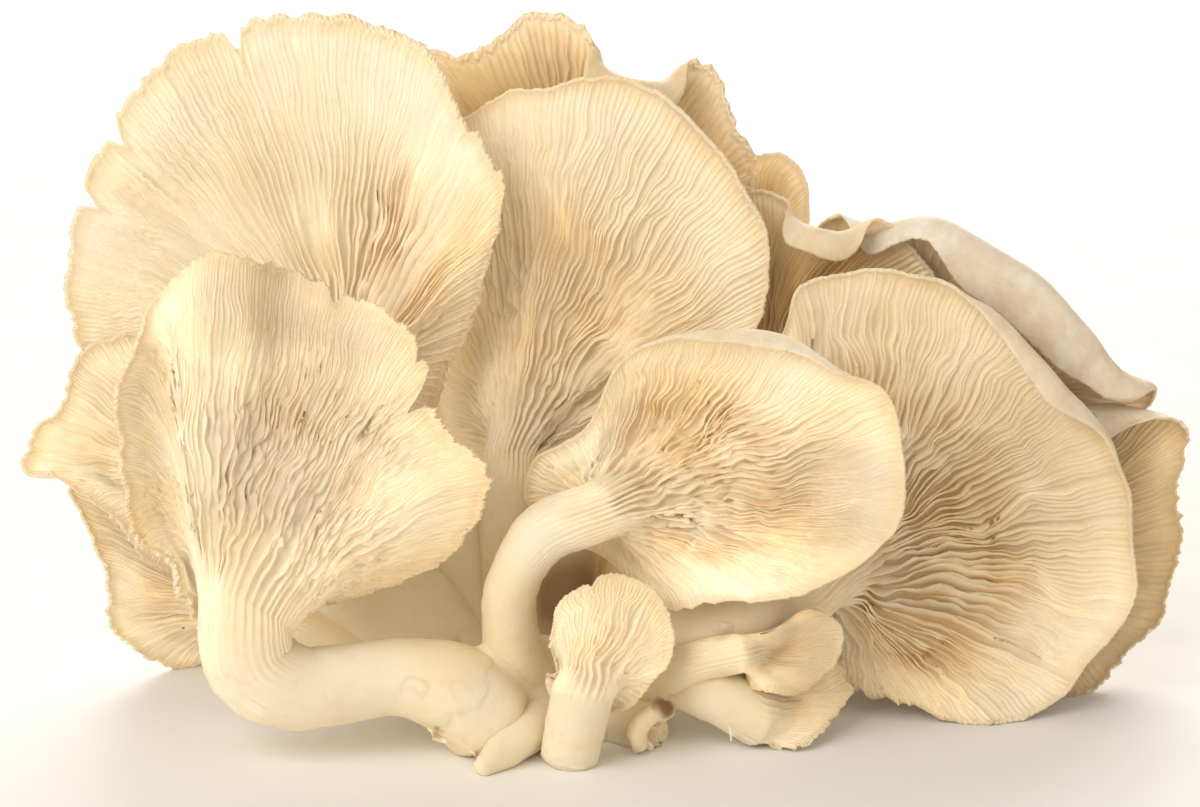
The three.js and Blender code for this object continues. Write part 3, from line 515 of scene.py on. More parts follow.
# Brown patches, each (x, y, z, radius, most brown). Real brown marks: the crumbs at
# mushroom_left_front's foot, the torn stalk beside the stub and the scar on mushroom_right_front's
# stem. The rest are painted shade: in the crevices between the stems, in the dark gap under
# mushroom_centre_front's arch, and over broad parts of mushroom_left_front, mushroom_centre_front,
# small_cap_right and mushroom_right_front.
STAINS_AND_PAINTED_SHADE = [
    (-8, 6, 18.5, 16, 0.75),
    (-11, 2, 26, 10, 0.5),
    (-3, 4, 12.5, 10, 0.6),
    (-29, -16, 15, 4, 0.9),
    (-25.5, -18, 11.5, 4, 0.9),
    (-24, -20, 9, 4, 0.9),
    (-13.5, -26, 6.5, 4, 0.8),
    (-34.5, -42, 6, 1.8, 0.6),
    (-27, -42.5, 1.5, 1.5, 0.6),
    (9.5, -41, 11, 3.4, 0.95),
    (5, -37, 1.5, 2.5, 0.6),
    (21.5, -33, 20.5, 2.2, 0.9),
    (21.5, -33, 23, 2.6, 0.25),
    (-60.5, -42, 65.5, 22, 0.25),
    (-61, -26, 87.5, 20, 0.24),
    (-72, -31, 90.5, 14, 0.17),
    (41, -33, 53, 16, 0.26),
    (35.5, -31, 18.5, 12, 0.3),
    (66, 3, 42.5, 30, 0.2),
    (88.5, 2, 41, 26, 0.18),
]
CRUMBS = [
    ((-35.2, -41, 6.3, 0.35), (-34.6, -41.5, 5.4, 0.65), (-33.8, -42, 5.0, 0.6),
     (-32.8, -42.5, 4.6, 0.3)),
    ((-36.0, -41, 7.1, 0.3), (-35.2, -41.6, 6.1, 0.5), (-35.0, -42, 5.2, 0.35)),
    ((-28.2, -42, 2.3, 0.3), (-27.4, -42.5, 1.7, 0.5), (-26.6, -42.5, 1.3, 0.3)),
]
STALKS = [
    ((5.1, -37, 1.4, 1.5), (4.5, -37, 4.1, 2.2), (5.4, -38, 7.1, 2.1), (7.8, -39, 9.3, 2.0),
     (9.3, -40, 10.5, 2.6)),
    ((22.3, -37, 5.5, 0.35), (22.7, -38.5, 4.8, 0.35), (22.9, -39, 3.7, 0.25)),
]
SCARS = {
    "mushroom_right_front": [
        ((21.6, -29.6, 24.6, 2.0), (21.6, -29.6, 22.5, 2.5), (21.6, -30.6, 20.5, 2.3)),
    ],
}


for body in BODIES:
    body["look"] = {**USUAL_LOOK, **body["look"]}


def unit(v):
    return v / np.maximum(np.linalg.norm(v, axis=-1, keepdims=True), 1e-9)


def smooth(x, low, high):
    t = np.clip((x - low) / (np.asarray(high) - low), 0, 1)
    return t * t * (3 - 2 * t)


def noise(points, size, seed):
    """Smooth random values, mostly from -1 to 1, that change over a distance of size."""
    place = np.asarray(points, float) / size + seed * 3.17
    cell = np.floor(place).astype(np.int64)
    part = place - cell
    part = part * part * (3 - 2 * part)
    total = np.zeros(place.shape[:-1])
    for corner in product((0, 1), repeat=3):
        x, y, z = (cell[..., k] + corner[k] for k in range(3))
        mixed = (x * 73856093) ^ (y * 19349663) ^ (z * 83492791) ^ (seed * 2654435761)
        mixed = ((mixed ^ (mixed >> 13)) * 1274126177) & 0xFFFFFFFF
        mixed = ((mixed ^ (mixed >> 15)) * 2246822519) & 0xFFFFFFFF
        weight = np.ones(total.shape)
        for k in range(3):
            weight = weight * (part[..., k] if corner[k] else 1 - part[..., k])
        total += weight * (mixed / 2 ** 31 - 1)
    return total * 1.5


def spline(points, closed, steps):
    """Points along a centripetal Catmull-Rom curve, and each one's place in the list."""
    p = np.asarray(points, float)
    count = len(p)
    out, places = [], []
    for i in range(count if closed else count - 1):
        if closed:
            a, b, c, d = (p[(i + k) % count] for k in (-1, 0, 1, 2))
        else:
            b, c = p[i], p[i + 1]
            a = p[i - 1] if i > 0 else 2 * b - c
            d = p[i + 2] if i + 2 < count else 2 * c - b
        knots = [0.0]
        for start, end in ((a, b), (b, c), (c, d)):
            knots.append(knots[-1] + max(np.linalg.norm((end - start)[:3]), 1e-6) ** 0.5)
        t0, t1, t2, t3 = knots
        for k in range(steps):
            t = t1 + (t2 - t1) * k / steps
            low = (t1 - t) / (t1 - t0) * a + (t - t0) / (t1 - t0) * b
            mid = (t2 - t) / (t2 - t1) * b + (t - t1) / (t2 - t1) * c
            high = (t3 - t) / (t3 - t2) * c + (t - t2) / (t3 - t2) * d
            first = (t2 - t) / (t2 - t0) * low + (t - t0) / (t2 - t0) * mid
            second = (t3 - t) / (t3 - t1) * mid + (t - t1) / (t3 - t1) * high
            out.append((t2 - t) / (t2 - t1) * first + (t - t1) / (t2 - t1) * second)
            places.append(i + k / steps)
    if not closed:
        out.append(p[-1])
        places.append(count - 1)
    return np.array(out), np.array(places)


def around(table, u):
    """Reads a table of values, stated at even places round the rim, at places u."""
    count = len(table)
    place = np.mod(u, 1.0) * count
    low = np.floor(place).astype(int) % count
    part = (place - np.floor(place))[..., None]
    return table[low] * (1 - part) + table[(low + 1) % count] * part


def between(values, place):
    """Reads values stated at the numbered rim points, at places between the points."""
    count = len(values)
    low = np.floor(place).astype(int)
    share = smooth(place - low, 0, 1)
    if values.ndim > 1:
        share = share[:, None]
    return values[low % count] * (1 - share) + values[(low + 1) % count] * share


def look_up_tree(points):
    """Finds the nearest of the points by position."""
    tree = KDTree(len(points))
    for i, point in enumerate(points):
        tree.insert(point, i)
    tree.balance()
    return tree


class Cap:
    """A cap's gilled side as a surface of u, round the rim, and v, from neck to rim."""

    def __init__(self, body):
        self.body = body
        look = body["look"]
        self.seed = look["seed"]
        self.axis = unit(np.array(body["cap_axis"], float))
        stem = np.array(body["stem"], float)
        self.neck, self.neck_radius = stem[-1, :3], stem[-1, 3]
        self.side = unit(np.array([1.0, 0, 0]) - self.axis * self.axis[0])
        self.up = np.cross(self.axis, self.side)
        u = np.arange(SECTIONS) / SECTIONS
        rim = self.stated_rim(u)
        self.angle = self.neck_angles(u, rim)
        hub = self.neck + body["hub_depth"] * self.axis
        slope = unit(rim - hub)
        self.turn = self.rolls(0, LEAST_ROLL)
        self.flap = self.rolls(1, LEAST_FLAP)
        self.roll_radius = look.get("roll_radius", ROLL_RADIUS)
        back = (self.roll_radius + RIM_THICKNESS) * smooth(self.turn, LEAST_ROLL, 90)
        self.table = self.sections(rim - back[:, None] * slope, slope)
        self.recess_table = self.recess(u)[:, None]
        self.relief = self.per_point("relief", 1)
        self.wavy = self.per_point("wavy", 1)
        self.zigzag = self.per_point("zigzag", 0)
        self.fading = self.per_point("fading", 2)
        self.comb = self.per_point("combed", look["comb"])
        self.normal_grid = self.grid_normals()
        self.note_front()
        crown = np.mean(self.behind(u, CLOSING_V), axis=0) + self.axis * CROWN_BULGE
        self.crown = self.kept_behind(crown[None])[0]

    def stated_rim(self, u):
        """The stated rim at places that are evenly spaced along it."""
        dense, places = spline(self.body["rim"], True, 40)
        steps = np.linalg.norm(np.roll(dense, -1, 0) - dense, axis=1)
        reach = np.concatenate([[0], np.cumsum(steps)])
        self.rim_length = reach[-1]
        closed = np.vstack([dense, dense[:1]])
        self.rim_places = np.interp(u * reach[-1], reach, np.append(places, len(self.body["rim"])))
        return np.stack([np.interp(u * reach[-1], reach, closed[:, k]) for k in range(3)], 1)

    def neck_angles(self, u, rim):
        """Where round the neck each section starts: partly even, partly facing its rim point."""
        spoke = rim - self.neck
        angle = np.unwrap(np.arctan2(spoke @ self.up, spoke @ self.side))
        even = 2 * np.pi * u
        return ANGLE_SHARE * angle + (1 - ANGLE_SHARE) * (even + np.mean(angle - even))

    def sections(self, rim, slope):
        """Each section's four Bezier points, from the neck to the rim."""
        radial = np.cos(self.angle)[:, None] * self.side + np.sin(self.angle)[:, None] * self.up
        root = self.neck + self.neck_radius * radial
        chord = rim - root
        self.length = np.linalg.norm(chord, axis=1)
        spread = np.clip(0.55 + 0.45 * (chord @ self.axis) / self.length, 0.12, 1)
        inner = root + (NECK_FLARE * self.length * spread)[:, None] * self.axis
        outer = rim - (MARGIN_REACH * self.length)[:, None] * slope
        inner = inner + self.bends(0)
        outer = outer + self.bends(1)
        return np.concatenate([root, inner, outer, rim], axis=1)

    def note_front(self):
        """The gilled side's inner part, as points to look up by place."""
        u = np.arange(0, SECTIONS, LOOK_UP_STEP) / SECTIONS
        rows = [self.surface(u, np.full(len(u), v)) for v in np.linspace(0, 0.9, LOOK_UP_ROWS)]
        self.front = np.concatenate([row[0] for row in rows])
        self.front_normals = np.concatenate([row[1] for row in rows])
        self.front_tree = look_up_tree(self.front)

    def kept_behind(self, points, least=LEAST_BEHIND):
        """Moves points of the smooth side back from the gilled side, where they come too near."""
        nearest = [self.front_tree.find(point)[1] for point in points]
        normal = self.front_normals[nearest]
        ahead = np.sum((points - self.front[nearest]) * normal, axis=1)
        return points - normal * np.maximum(ahead + least, 0)[:, None]

    def rolls(self, column, least):
        """How far the margin turns in (column 0), or how long its flap is (column 1)."""
        values = np.full(len(self.body["rim"]), float(least))
        for rim_point, entry in self.body.get("rolls", {}).items():
            values[rim_point] = max(entry[column], least)
        return between(values, self.rim_places)

    def per_point(self, key, usual):
        """A look's share, stated at some of the rim's points, all the way round the rim."""
        values = np.full(len(self.body["rim"]), float(usual))
        for rim_point, value in self.body["look"].get(key, {}).items():
            values[rim_point] = value
        return between(values, self.rim_places)[:, None]

    def bends(self, column):
        """How far the cap's sections bow, near the neck (column 0) and near the rim (1)."""
        values = np.zeros((len(self.body["rim"]), 3))
        for rim_point, entry in self.body.get("bends", {}).items():
            values[rim_point] = entry[column]
        return between(values, self.rim_places)

    def recess(self, u):
        """How far the margin stands back from the smooth rim, as a share of the cap's reach."""
        look = self.body["look"]
        circle = np.stack([np.cos(2 * np.pi * u), np.sin(2 * np.pi * u), 0 * u], 1)
        ring = circle * self.rim_length / ROUND
        size = self.per_point("toothed", look["teeth"])[:, 0]
        size = size * (1 - smooth(self.turn, 2 * LEAST_ROLL, 4 * LEAST_ROLL))
        teeth = 0.6 + 0.5 * noise(ring, 0.9, self.seed + 5) + 0.6 * noise(ring, 2.3, self.seed + 6)
        teeth = np.maximum(teeth, 0) * size
        teeth = teeth + (noise(ring, 8.0, self.seed + 7) + 1) * look["uneven"]
        for rim_point, depth, width in look.get("splits", ()):
            centre = np.interp(rim_point, self.rim_places, u)
            gap = np.abs(np.mod(u - centre + 0.5, 1) - 0.5) * self.rim_length
            teeth = teeth + depth * np.exp(-(gap / width) ** 1.3)
        return teeth / np.maximum(self.length, 1)

    def smooth_point(self, u, v):
        form = around(self.table, u)
        v = np.clip(v, 0, 1)[..., None]
        w = 1 - v
        return (w ** 3 * form[..., 0:3] + 3 * w * w * v * form[..., 3:6]
                + 3 * w * v * v * form[..., 6:9] + v ** 3 * form[..., 9:12])

    def grid_normals(self):
        u = np.arange(SECTIONS) / SECTIONS
        v = np.linspace(0, 1, GRID_ROWS + 1)
        grid = np.array([self.smooth_point(u, np.full(SECTIONS, row)) for row in v])
        along = np.roll(grid, -1, 1) - np.roll(grid, 1, 1)
        outwards = np.gradient(grid, axis=0)
        self.stretch_grid = np.linalg.norm(along, axis=-1, keepdims=True) * SECTIONS / 2
        return unit(np.cross(along, outwards))

    def read(self, grid, u, v):
        row = np.clip(v, 0, 1) * GRID_ROWS
        low = np.minimum(np.floor(row).astype(int), GRID_ROWS - 1)
        part = (row - low)[..., None]
        place = np.mod(u, 1.0) * SECTIONS
        left = np.floor(place).astype(int) % SECTIONS
        right = (left + 1) % SECTIONS
        share = (place - np.floor(place))[..., None]
        first = grid[low, left] * (1 - share) + grid[low, right] * share
        second = grid[low + 1, left] * (1 - share) + grid[low + 1, right] * share
        return first * (1 - part) + second * part

    def normal(self, u, v):
        return unit(self.read(self.normal_grid, u, v))

    def angle_at(self, u):
        """The angle round the neck, which a turn of u brings all the way round."""
        place = np.mod(u, 1.0) * SECTIONS
        table = np.append(self.angle, self.angle[0] + 2 * np.pi)
        return np.interp(place, np.arange(SECTIONS + 1), table)

    def stretch(self, u, v):
        """Millimetres for a whole turn of u, as found at this place."""
        return np.maximum(self.read(self.stretch_grid, u, v)[..., 0], 2.0)

    def surface(self, u, v):
        """The gilled side with its margin's recesses and waves, and its normals."""
        recess = around(self.recess_table, u)[..., 0]
        reach = v * (1 - recess * smooth(v, 0.45, 1))
        point = self.smooth_point(u, reach)
        normal = self.normal(u, reach)
        look = self.body["look"]
        lift = noise(point, look["wave_size"], self.seed + 1) * look["wave"] * smooth(v, 0.35, 1)
        return point + normal * lift[..., None], normal

    def thickness(self, u, v):
        """From the gills' free edges to the smooth side."""
        share = np.clip(around(self.length[:, None], u)[..., 0] / FULL_REACH, LEAST_SHARE, 1)
        thick = smooth(1 - v, 0, THICKENING)
        return RIM_THICKNESS + (CAP_THICKNESS * share - RIM_THICKNESS) * thick

    def edge_frame(self, u, inset):
        """At the rim: its place, the way outwards and the gilled side's normal."""
        reach = np.ones(np.shape(u)) - inset
        edge, normal = self.surface(u, reach)
        inner, _ = self.surface(u, reach - 0.04)
        out = unit(edge - inner)
        normal = unit(normal - out * np.sum(normal * out, -1, keepdims=True))
        return edge, out, normal

    def rolled(self, u, step, inset=0.0):
        """Past the rim: step 0 to 1 goes round the roll, and 1 to 2 along its flap."""
        edge, out, normal = self.edge_frame(u, inset)
        turn = np.radians(around(self.turn[:, None], u)) * min(step, 1)
        flap = around(self.flap[:, None], u) * max(step - 1, 0)
        sin, cos = np.sin(turn), np.cos(turn)
        point = edge + self.roll_radius * (sin * out + (1 - cos) * normal)
        onwards = cos * out + sin * normal
        return point + flap * onwards, onwards, cos * normal - sin * out

    def behind(self, u, v):
        point, normal = self.surface(u, np.full(len(u), v))
        return point - normal * self.thickness(u, v)[:, None]

    def smooth_side(self, u, v):
        """The smooth side: set back from the gills, and closing over the hub."""
        if v >= BEHIND_V:
            return self.behind(u, v)
        if v >= CLOSING_V:
            least = LEAST_BEHIND * (1 - 0.5 * smooth(v, 0.6, BEHIND_V))
            return self.kept_behind(self.behind(u, v), least)
        place = self.behind(u, CLOSING_V)
        inwards = unit(place - self.behind(u, CLOSING_V + 0.06))
        reach = place - self.crown
        level = reach - (reach @ self.axis)[:, None] * self.axis
        inner = self.crown + CROWN_FLAT * level
        outer = place + inwards * CLOSING_SLOPE * np.linalg.norm(reach, axis=1)[:, None]
        t = v / CLOSING_V
        w = 1 - t
        point = w ** 3 * self.crown + 3 * w * w * t * inner + 3 * w * t * t * outer + t ** 3 * place
        return self.kept_behind(point)


def stain_and_shade(points):
    """How much of the dark tan colour each point takes: real marks at a scar, a torn stalk and
    crumbs, and painted shade in crevices between stems and over parts of some caps.
    """
    share = np.zeros(len(points))
    for x, y, z, radius, most in STAINS_AND_PAINTED_SHADE:
        away = np.linalg.norm(points - (x, y, z), axis=1)
        away = away + 0.25 * radius * noise(points, 0.6 * radius, 401)
        share = np.maximum(share, most * (1 - smooth(away, 0.35 * radius, radius)))
    return share


MATERIAL_KEYS = ("deep", "margin", "skin", "stem", "stain_and_shade")


def write_values(mesh, values):
    """Writes what each point's material needs."""
    for key in MATERIAL_KEYS:
        attribute = mesh.attributes.new(key, "FLOAT", "POINT")
        attribute.data.foreach_set("value", values[key].astype(np.float32))


class Skin:
    """Rows of points, joined into one closed mesh, with what each point's material needs."""

    def __init__(self):
        self.points, self.places, self.faces = [], [], []
        self.values = {key: [] for key in MATERIAL_KEYS}
        self.count = 0

    def add(self, points, places, **values):
        # Real brown marks and painted shade, by place.
        values["stain_and_shade"] = stain_and_shade(points)
        self.points.append(points)
        self.places.append((self.count, np.asarray(places)))
        for key in MATERIAL_KEYS:
            self.values[key].append(np.broadcast_to(values.get(key, 0.0), (len(points),)))
        self.count += len(points)

    def join(self):
        """Joins each row to the next: squares where the columns match, triangles elsewhere."""
        for (first, low), (second, high) in zip(self.places, self.places[1:]):
            if len(low) == len(high):
                a = np.arange(len(low))
                b = np.roll(a, -1)
                self.faces.append(np.stack([first + a, first + b, second + b, second + a], 1))
            elif min(len(low), len(high)) == 1:
                self.fan(first, low, second, high)
            else:
                self.ladder(first, low, second, high)

    def fan(self, first, low, second, high):
        a = np.arange(max(len(low), len(high)))
        b = np.roll(a, -1)
        if len(low) == 1:
            self.faces.append(np.stack([first + 0 * a, second + b, second + a], 1))
        else:
            self.faces.append(np.stack([first + a, first + b, second + 0 * a], 1))

    def ladder(self, first, low, second, high):
        faces = []
        i = j = 0
        while i < len(low) or j < len(high):
            next_low = low[i + 1] if i + 1 < len(low) else low[0] + 1
            next_high = high[j + 1] if j + 1 < len(high) else high[0] + 1
            a, b = first + i % len(low), second + j % len(high)
            if j >= len(high) or (i < len(low) and next_low < next_high):
                faces.append((a, first + (i + 1) % len(low), b))
                i += 1
            else:
                faces.append((a, second + (j + 1) % len(high), b))
                j += 1
        self.faces.append(np.array(faces))

    def keep_above_floor(self):
        for points in self.points:
            points[:, 2] = np.maximum(points[:, 2], LEAST_HEIGHT)

    def object(self, name):
        self.join()
        mesh = bpy.data.meshes.new(name)
        faces = [face for group in self.faces for face in group.tolist()]
        mesh.from_pydata(np.concatenate(self.points) * MM, [], faces)
        write_values(mesh, {key: np.concatenate(rows) for key, rows in self.values.items()})
        mesh.shade_smooth()
        piece = bpy.data.objects.new(name, mesh)
        bpy.context.scene.collection.objects.link(piece)
        return piece


def stem_frames(stem, axis, side, up, rows):
    """Centres, radii and a pair of cross directions down a stem, untwisted from the neck."""
    dense, _ = spline(stem, False, 24)
    steps = np.linalg.norm(np.diff(dense[:, :3], axis=0), axis=1)
    reach = np.concatenate([[0], np.cumsum(steps)])
    t = np.linspace(0, 1, rows)
    line = np.stack([np.interp(t * reach[-1], reach, dense[:, k]) for k in range(4)], 1)
    tangent = unit(np.gradient(line[:, :3], axis=0))
    near_neck = smooth((1 - t) * reach[-1], NECK_TURN, 0)[:, None]
    tangent = unit(tangent * (1 - near_neck) + axis * near_neck)
    first, second = [None] * rows, [None] * rows
    facing, a, b = axis, side, up
    for i in range(rows - 1, -1, -1):
        turn = Vector(facing).rotation_difference(Vector(tangent[i])).to_matrix()
        a, b = np.array(turn @ Vector(a)), np.array(turn @ Vector(b))
        facing = tangent[i]
        first[i], second[i] = a, b
    return t, line[:, :3], line[:, 3], tangent, np.array(first), np.array(second), reach[-1]


def gill_set(count, orders, seed):
    """Every gill's place round the rim, its order, and how far out it starts."""
    random = np.random.default_rng(seed)
    gills = []
    for order in range(orders):
        total = count * 2 ** order
        index = np.arange(total) if order == 0 else np.arange(1, total, 2)
        spread = 0.12 / total
        for place in index / total + random.uniform(-spread, spread, len(index)):
            late = random.uniform(0, 0.13) if order else 0
            gills.append((place, order, ORDER_STARTS[order] + late))
    return np.array(sorted(gills))


def in_order(values):
    """The values, moved as little either way as it takes for them never to fall."""
    rising = np.maximum.accumulate(values)
    falling = np.minimum.accumulate(values[::-1])[::-1]
    return (rising + falling) / 2


class GillRows:
    """Rows of four columns a gill: root, free edge, free edge, root."""

    SIDES = np.array([-1, -1, 1, 1])
    AT_TIP = np.array([0, 1, 1, 0])

    def __init__(self, cap):
        self.cap = cap
        self.look = cap.body["look"]
        self.seed = cap.seed
        spacing = self.look.get("spacing", NECK_SPACING)
        count = max(round(2 * math.pi * cap.neck_radius / spacing), LEAST_GILLS)
        self.gills = gill_set(count, self.look["orders"], cap.seed)
        group = np.arange(len(self.gills)) // FLAKE_GILLS
        self.group_seed = group[:, None] * np.array([[37.0, 59.0, 83.0]])
        self.own_seed = self.gills[:, 0:1] * np.array([[911.0, 517.0, 733.0]])
        even = np.arange(0, SECTIONS, LOOK_UP_STEP) / SECTIONS
        rows = [cap.smooth_side(even, v) for v in np.linspace(0, 0.85, LOOK_UP_ROWS)]
        self.behind = look_up_tree(np.concatenate(rows))
        self.mean_length = float(np.mean(cap.length))

    def active(self, v):
        return self.gills[:, 1] <= sum(v >= start for start in ORDER_STARTS[1:])

    def places(self, v):
        """The columns' own order round the rim, for joining rows."""
        gills = self.gills[self.active(v)]
        gap = 0.2 / (len(gills) * np.ones(len(gills)))
        return (gills[:, 0:1] + gap[:, None] * np.array([-1.0, -0.4, 0.4, 1.0])).ravel()

    def depth(self, u, v, length, base):
        """The depth of a full-length gill, which leaves flesh between it and the smooth side."""
        look = self.look
        grown = smooth(v * length, 0, 11)
        depth = look["neck_height"] + (look["height"] - look["neck_height"]) * grown
        out = smooth(v, 0.55, 1)
        depth = depth * (1 - out) + look["rim_height"] * out
        if v < BEHIND_V:
            room = np.array([self.behind.find(point)[2] for point in base]) - LEAST_FLESH
            return np.clip(depth, LEAST_DEPTH, np.maximum(room, LEAST_DEPTH))
        return np.minimum(depth, self.cap.thickness(u, v) - 0.4)

    def sway(self, base, place, length, gap, stretch, calm, v):
        """How far each gill stands to the side of its even place."""
        cap, look, seed = self.cap, self.look, self.seed
        sway = noise(base, look["sway_size"], seed + 2) * look["sway"]
        sway = sway + noise(base, look["sway_size"] * 0.36, seed + 3) * look["sway"] * 0.42
        sway = sway * around(cap.wavy, place)[:, 0]
        alone = base * 0.35 + self.own_seed[self.active(v)]
        loose = np.minimum(look["loose"], 0.3 * gap * stretch)
        sway = calm * (sway + loose * noise(alone, 1.6, seed + 4))
        to_rim = (1 - v) * length + 1.5 * noise(base, 6.0, seed + 12)
        ripple = np.sin(to_rim * 2 * math.pi / RIPPLE) * smooth(to_rim, 1, 4)
        ripple = ripple * (1 - smooth(to_rim, 11, 19)) * around(cap.zigzag, place)[:, 0]
        return sway + 0.5 * ripple

    def left_standing(self, base, order, start, length, flaky, calm, v):
        """The share of each gill's height that stands, and how high its torn flakes are."""
        look, seed = self.look, self.seed
        own = self.own_seed[self.active(v)]
        grown = smooth((v - start) * length, -0.5, 7) * (1 - 0.13 * order)
        grown = np.where(order == 0, 1, grown)
        chip = noise(base + own, 1.4, seed + 9)
        worn = look["ragged"] * (0.5 + 0.5 * chip) + 0.55 * flaky * np.abs(chip)
        uneven = noise(base * 0.5 + own, 2.6, seed + 14)
        grown = grown * (1 - look["broken"] * smooth(uneven, 0.0, 1.1) * calm)
        torn = look["flakes"] * smooth(noise(base, 15.0, seed + 16), -0.25, 0.5)
        for x, y, z, radius, left in look.get("bare", ()):
            away = np.linalg.norm((base - (x, y, z)) * (1, 0.5, 1), axis=1)
            away = away + 0.35 * radius * noise(base, 0.5 * radius, seed + 13)
            bare = 1 - smooth(away, radius * 0.6, radius * 1.1)
            grown = grown * (1 - (1 - left) * bare)
            torn = np.maximum(torn, BARE_FLAKES * bare)
        return np.clip(grown * (1 - worn * calm), 0, 1.2), torn

    def row(self, v):
        """Points, hollowness with its painted shade, and places round the rim of all the columns at
        v.
        """
        cap, look, seed = self.cap, self.look, self.seed
        on = self.active(v)
        place, order, start = self.gills[on].T
        row = np.full(len(place), float(v))
        base, _ = cap.surface(place, row)
        length = around(cap.length[:, None], place)[:, 0]
        stretch = cap.stretch(place, row)
        calm = smooth(v, 0.02, 0.25) * (1 - smooth(v, 0.86, 1))
        gap = np.mod(np.roll(place, -1) - place, 1)
        gap = np.minimum(gap, np.mod(place - np.roll(place, 1), 1))
        centre = place + self.sway(base, place, length, gap, stretch, calm, v) / stretch
        root_half = np.minimum(ROOT_HALF / stretch, 0.30 * gap)
        tip_half = np.minimum(TIP_HALF / stretch, 0.22 * gap)
        fading = around(cap.fading, place)[:, 0]
        relief = around(cap.relief, place)[:, 0] * (1 - smooth(v, fading, fading + 0.25))
        outer = look["outer_share"] * smooth(v, 0.3, 0.6)
        depth = self.depth(place, v, length, base) * (relief + (1 - relief) * outer)
        flaky = look["flaky"] * smooth(noise(base, 8.0, seed + 8), 0.15, 0.7)
        grown, torn = self.left_standing(base, order, start, length, flaky, calm, v)
        terrace = 2.6 * noise(base * 0.45 + self.group_seed[on], 2.6, seed + 15)
        terrace = terrace + 0.5 * noise(base + self.own_seed[on], 1.6, seed + 17)
        step = terrace - np.floor(terrace)
        # Painted shadow just below the step of each torn flake.
        shade = np.clip(torn, 0, 1) * calm * (1 - smooth(step, 0.0, 0.4)) * 0.5
        torn = torn * calm * (step - 0.35)
        lean = look["lean"] * noise(base, 13.0, seed + 10)
        lean = lean + 0.45 * flaky * noise(base, 2.2, seed + 11)
        lean = (lean + look["tilt"]) * depth * grown * calm
        half = root_half[:, None] * (1 - self.AT_TIP) + tip_half[:, None] * self.AT_TIP
        u = centre[:, None] + self.SIDES * half + self.AT_TIP * (lean / stretch)[:, None]
        for pair in ([0, 3], [1, 2]):
            u[:, pair] = in_order(u[:, pair].ravel()).reshape(-1, 2)
        below_edge = 1 - self.AT_TIP * grown[:, None]
        sunk = (depth[:, None] * below_edge - torn[:, None]).ravel()
        # Painted shade: each gap between gills is coloured darker the deeper it is.
        hollow = np.minimum(depth / FULL_HOLLOW, 1)[:, None]
        deep = np.clip(np.maximum(hollow * below_edge, shade[:, None]), 0, 1).ravel()
        comb = around(cap.comb, place)[:, :1] * below_edge * np.maximum(order[:, None], 1) / 2
        self.inset = (comb / length[:, None] * smooth(v, 0.9, 1)).ravel()
        u = u.ravel()
        point, normal = cap.surface(u, v - self.inset)
        return point - normal * sunk[:, None], deep, u


def stem_rows(skin, cap, gill_rows):
    """From the foot up to the neck; the gills run down onto the stem as low ridges."""
    look = cap.body["look"]
    stem = np.array(cap.body["stem"], float)
    length = np.sum(np.linalg.norm(np.diff(stem[:, :3], axis=0), axis=1))
    rows = max(int(length / STEM_ROW), 8)
    frames = stem_frames(stem, cap.axis, cap.side, cap.up, rows + 1)
    t, centres, radii, tangents, first, second, length = frames
    _, deep, u = gill_rows.row(0.0)
    places = gill_rows.places(0.0)
    angle = cap.angle_at(u)
    seed = cap.seed
    foot = centres[0] - tangents[0] * radii[0] * 0.4
    skin.add(foot[None], [0.0], stem=1.0)
    for i in range(rows):
        ring = np.cos(angle)[:, None] * first[i] + np.sin(angle)[:, None] * second[i]
        from_neck = (1 - t[i]) * length
        spot = centres[i] + radii[i] * ring
        fade = 1 - smooth(from_neck + 6 * noise(spot, 6.0, seed + 20), 0.0, look["decurrent"])
        patchy = 0.45 + 0.45 * noise(spot, 5.5, seed + 23) + 0.2 * noise(spot, 1.8, seed + 24)
        fade = fade ** 1.5 * (1 - smooth(from_neck, 0, 7) * (1 - np.clip(patchy, 0.05, 1)))
        sunk = 0.7 * FULL_HOLLOW * deep * fade
        along = spot - tangents[i] * (spot @ tangents[i])[:, None] * 0.85
        lump = 0.3 * noise(spot, 9.0, seed + 21) + 0.12 * noise(along, 2.2, seed + 22)
        lump = lump * smooth(from_neck, 0, 8)
        reach = radii[i] + lump - sunk
        # The ridges on the stem carry the gills' painted hollow shade.
        skin.add(centres[i] + ring * reach[:, None], places, stem=1 - 0.6 * fade, deep=deep * fade)


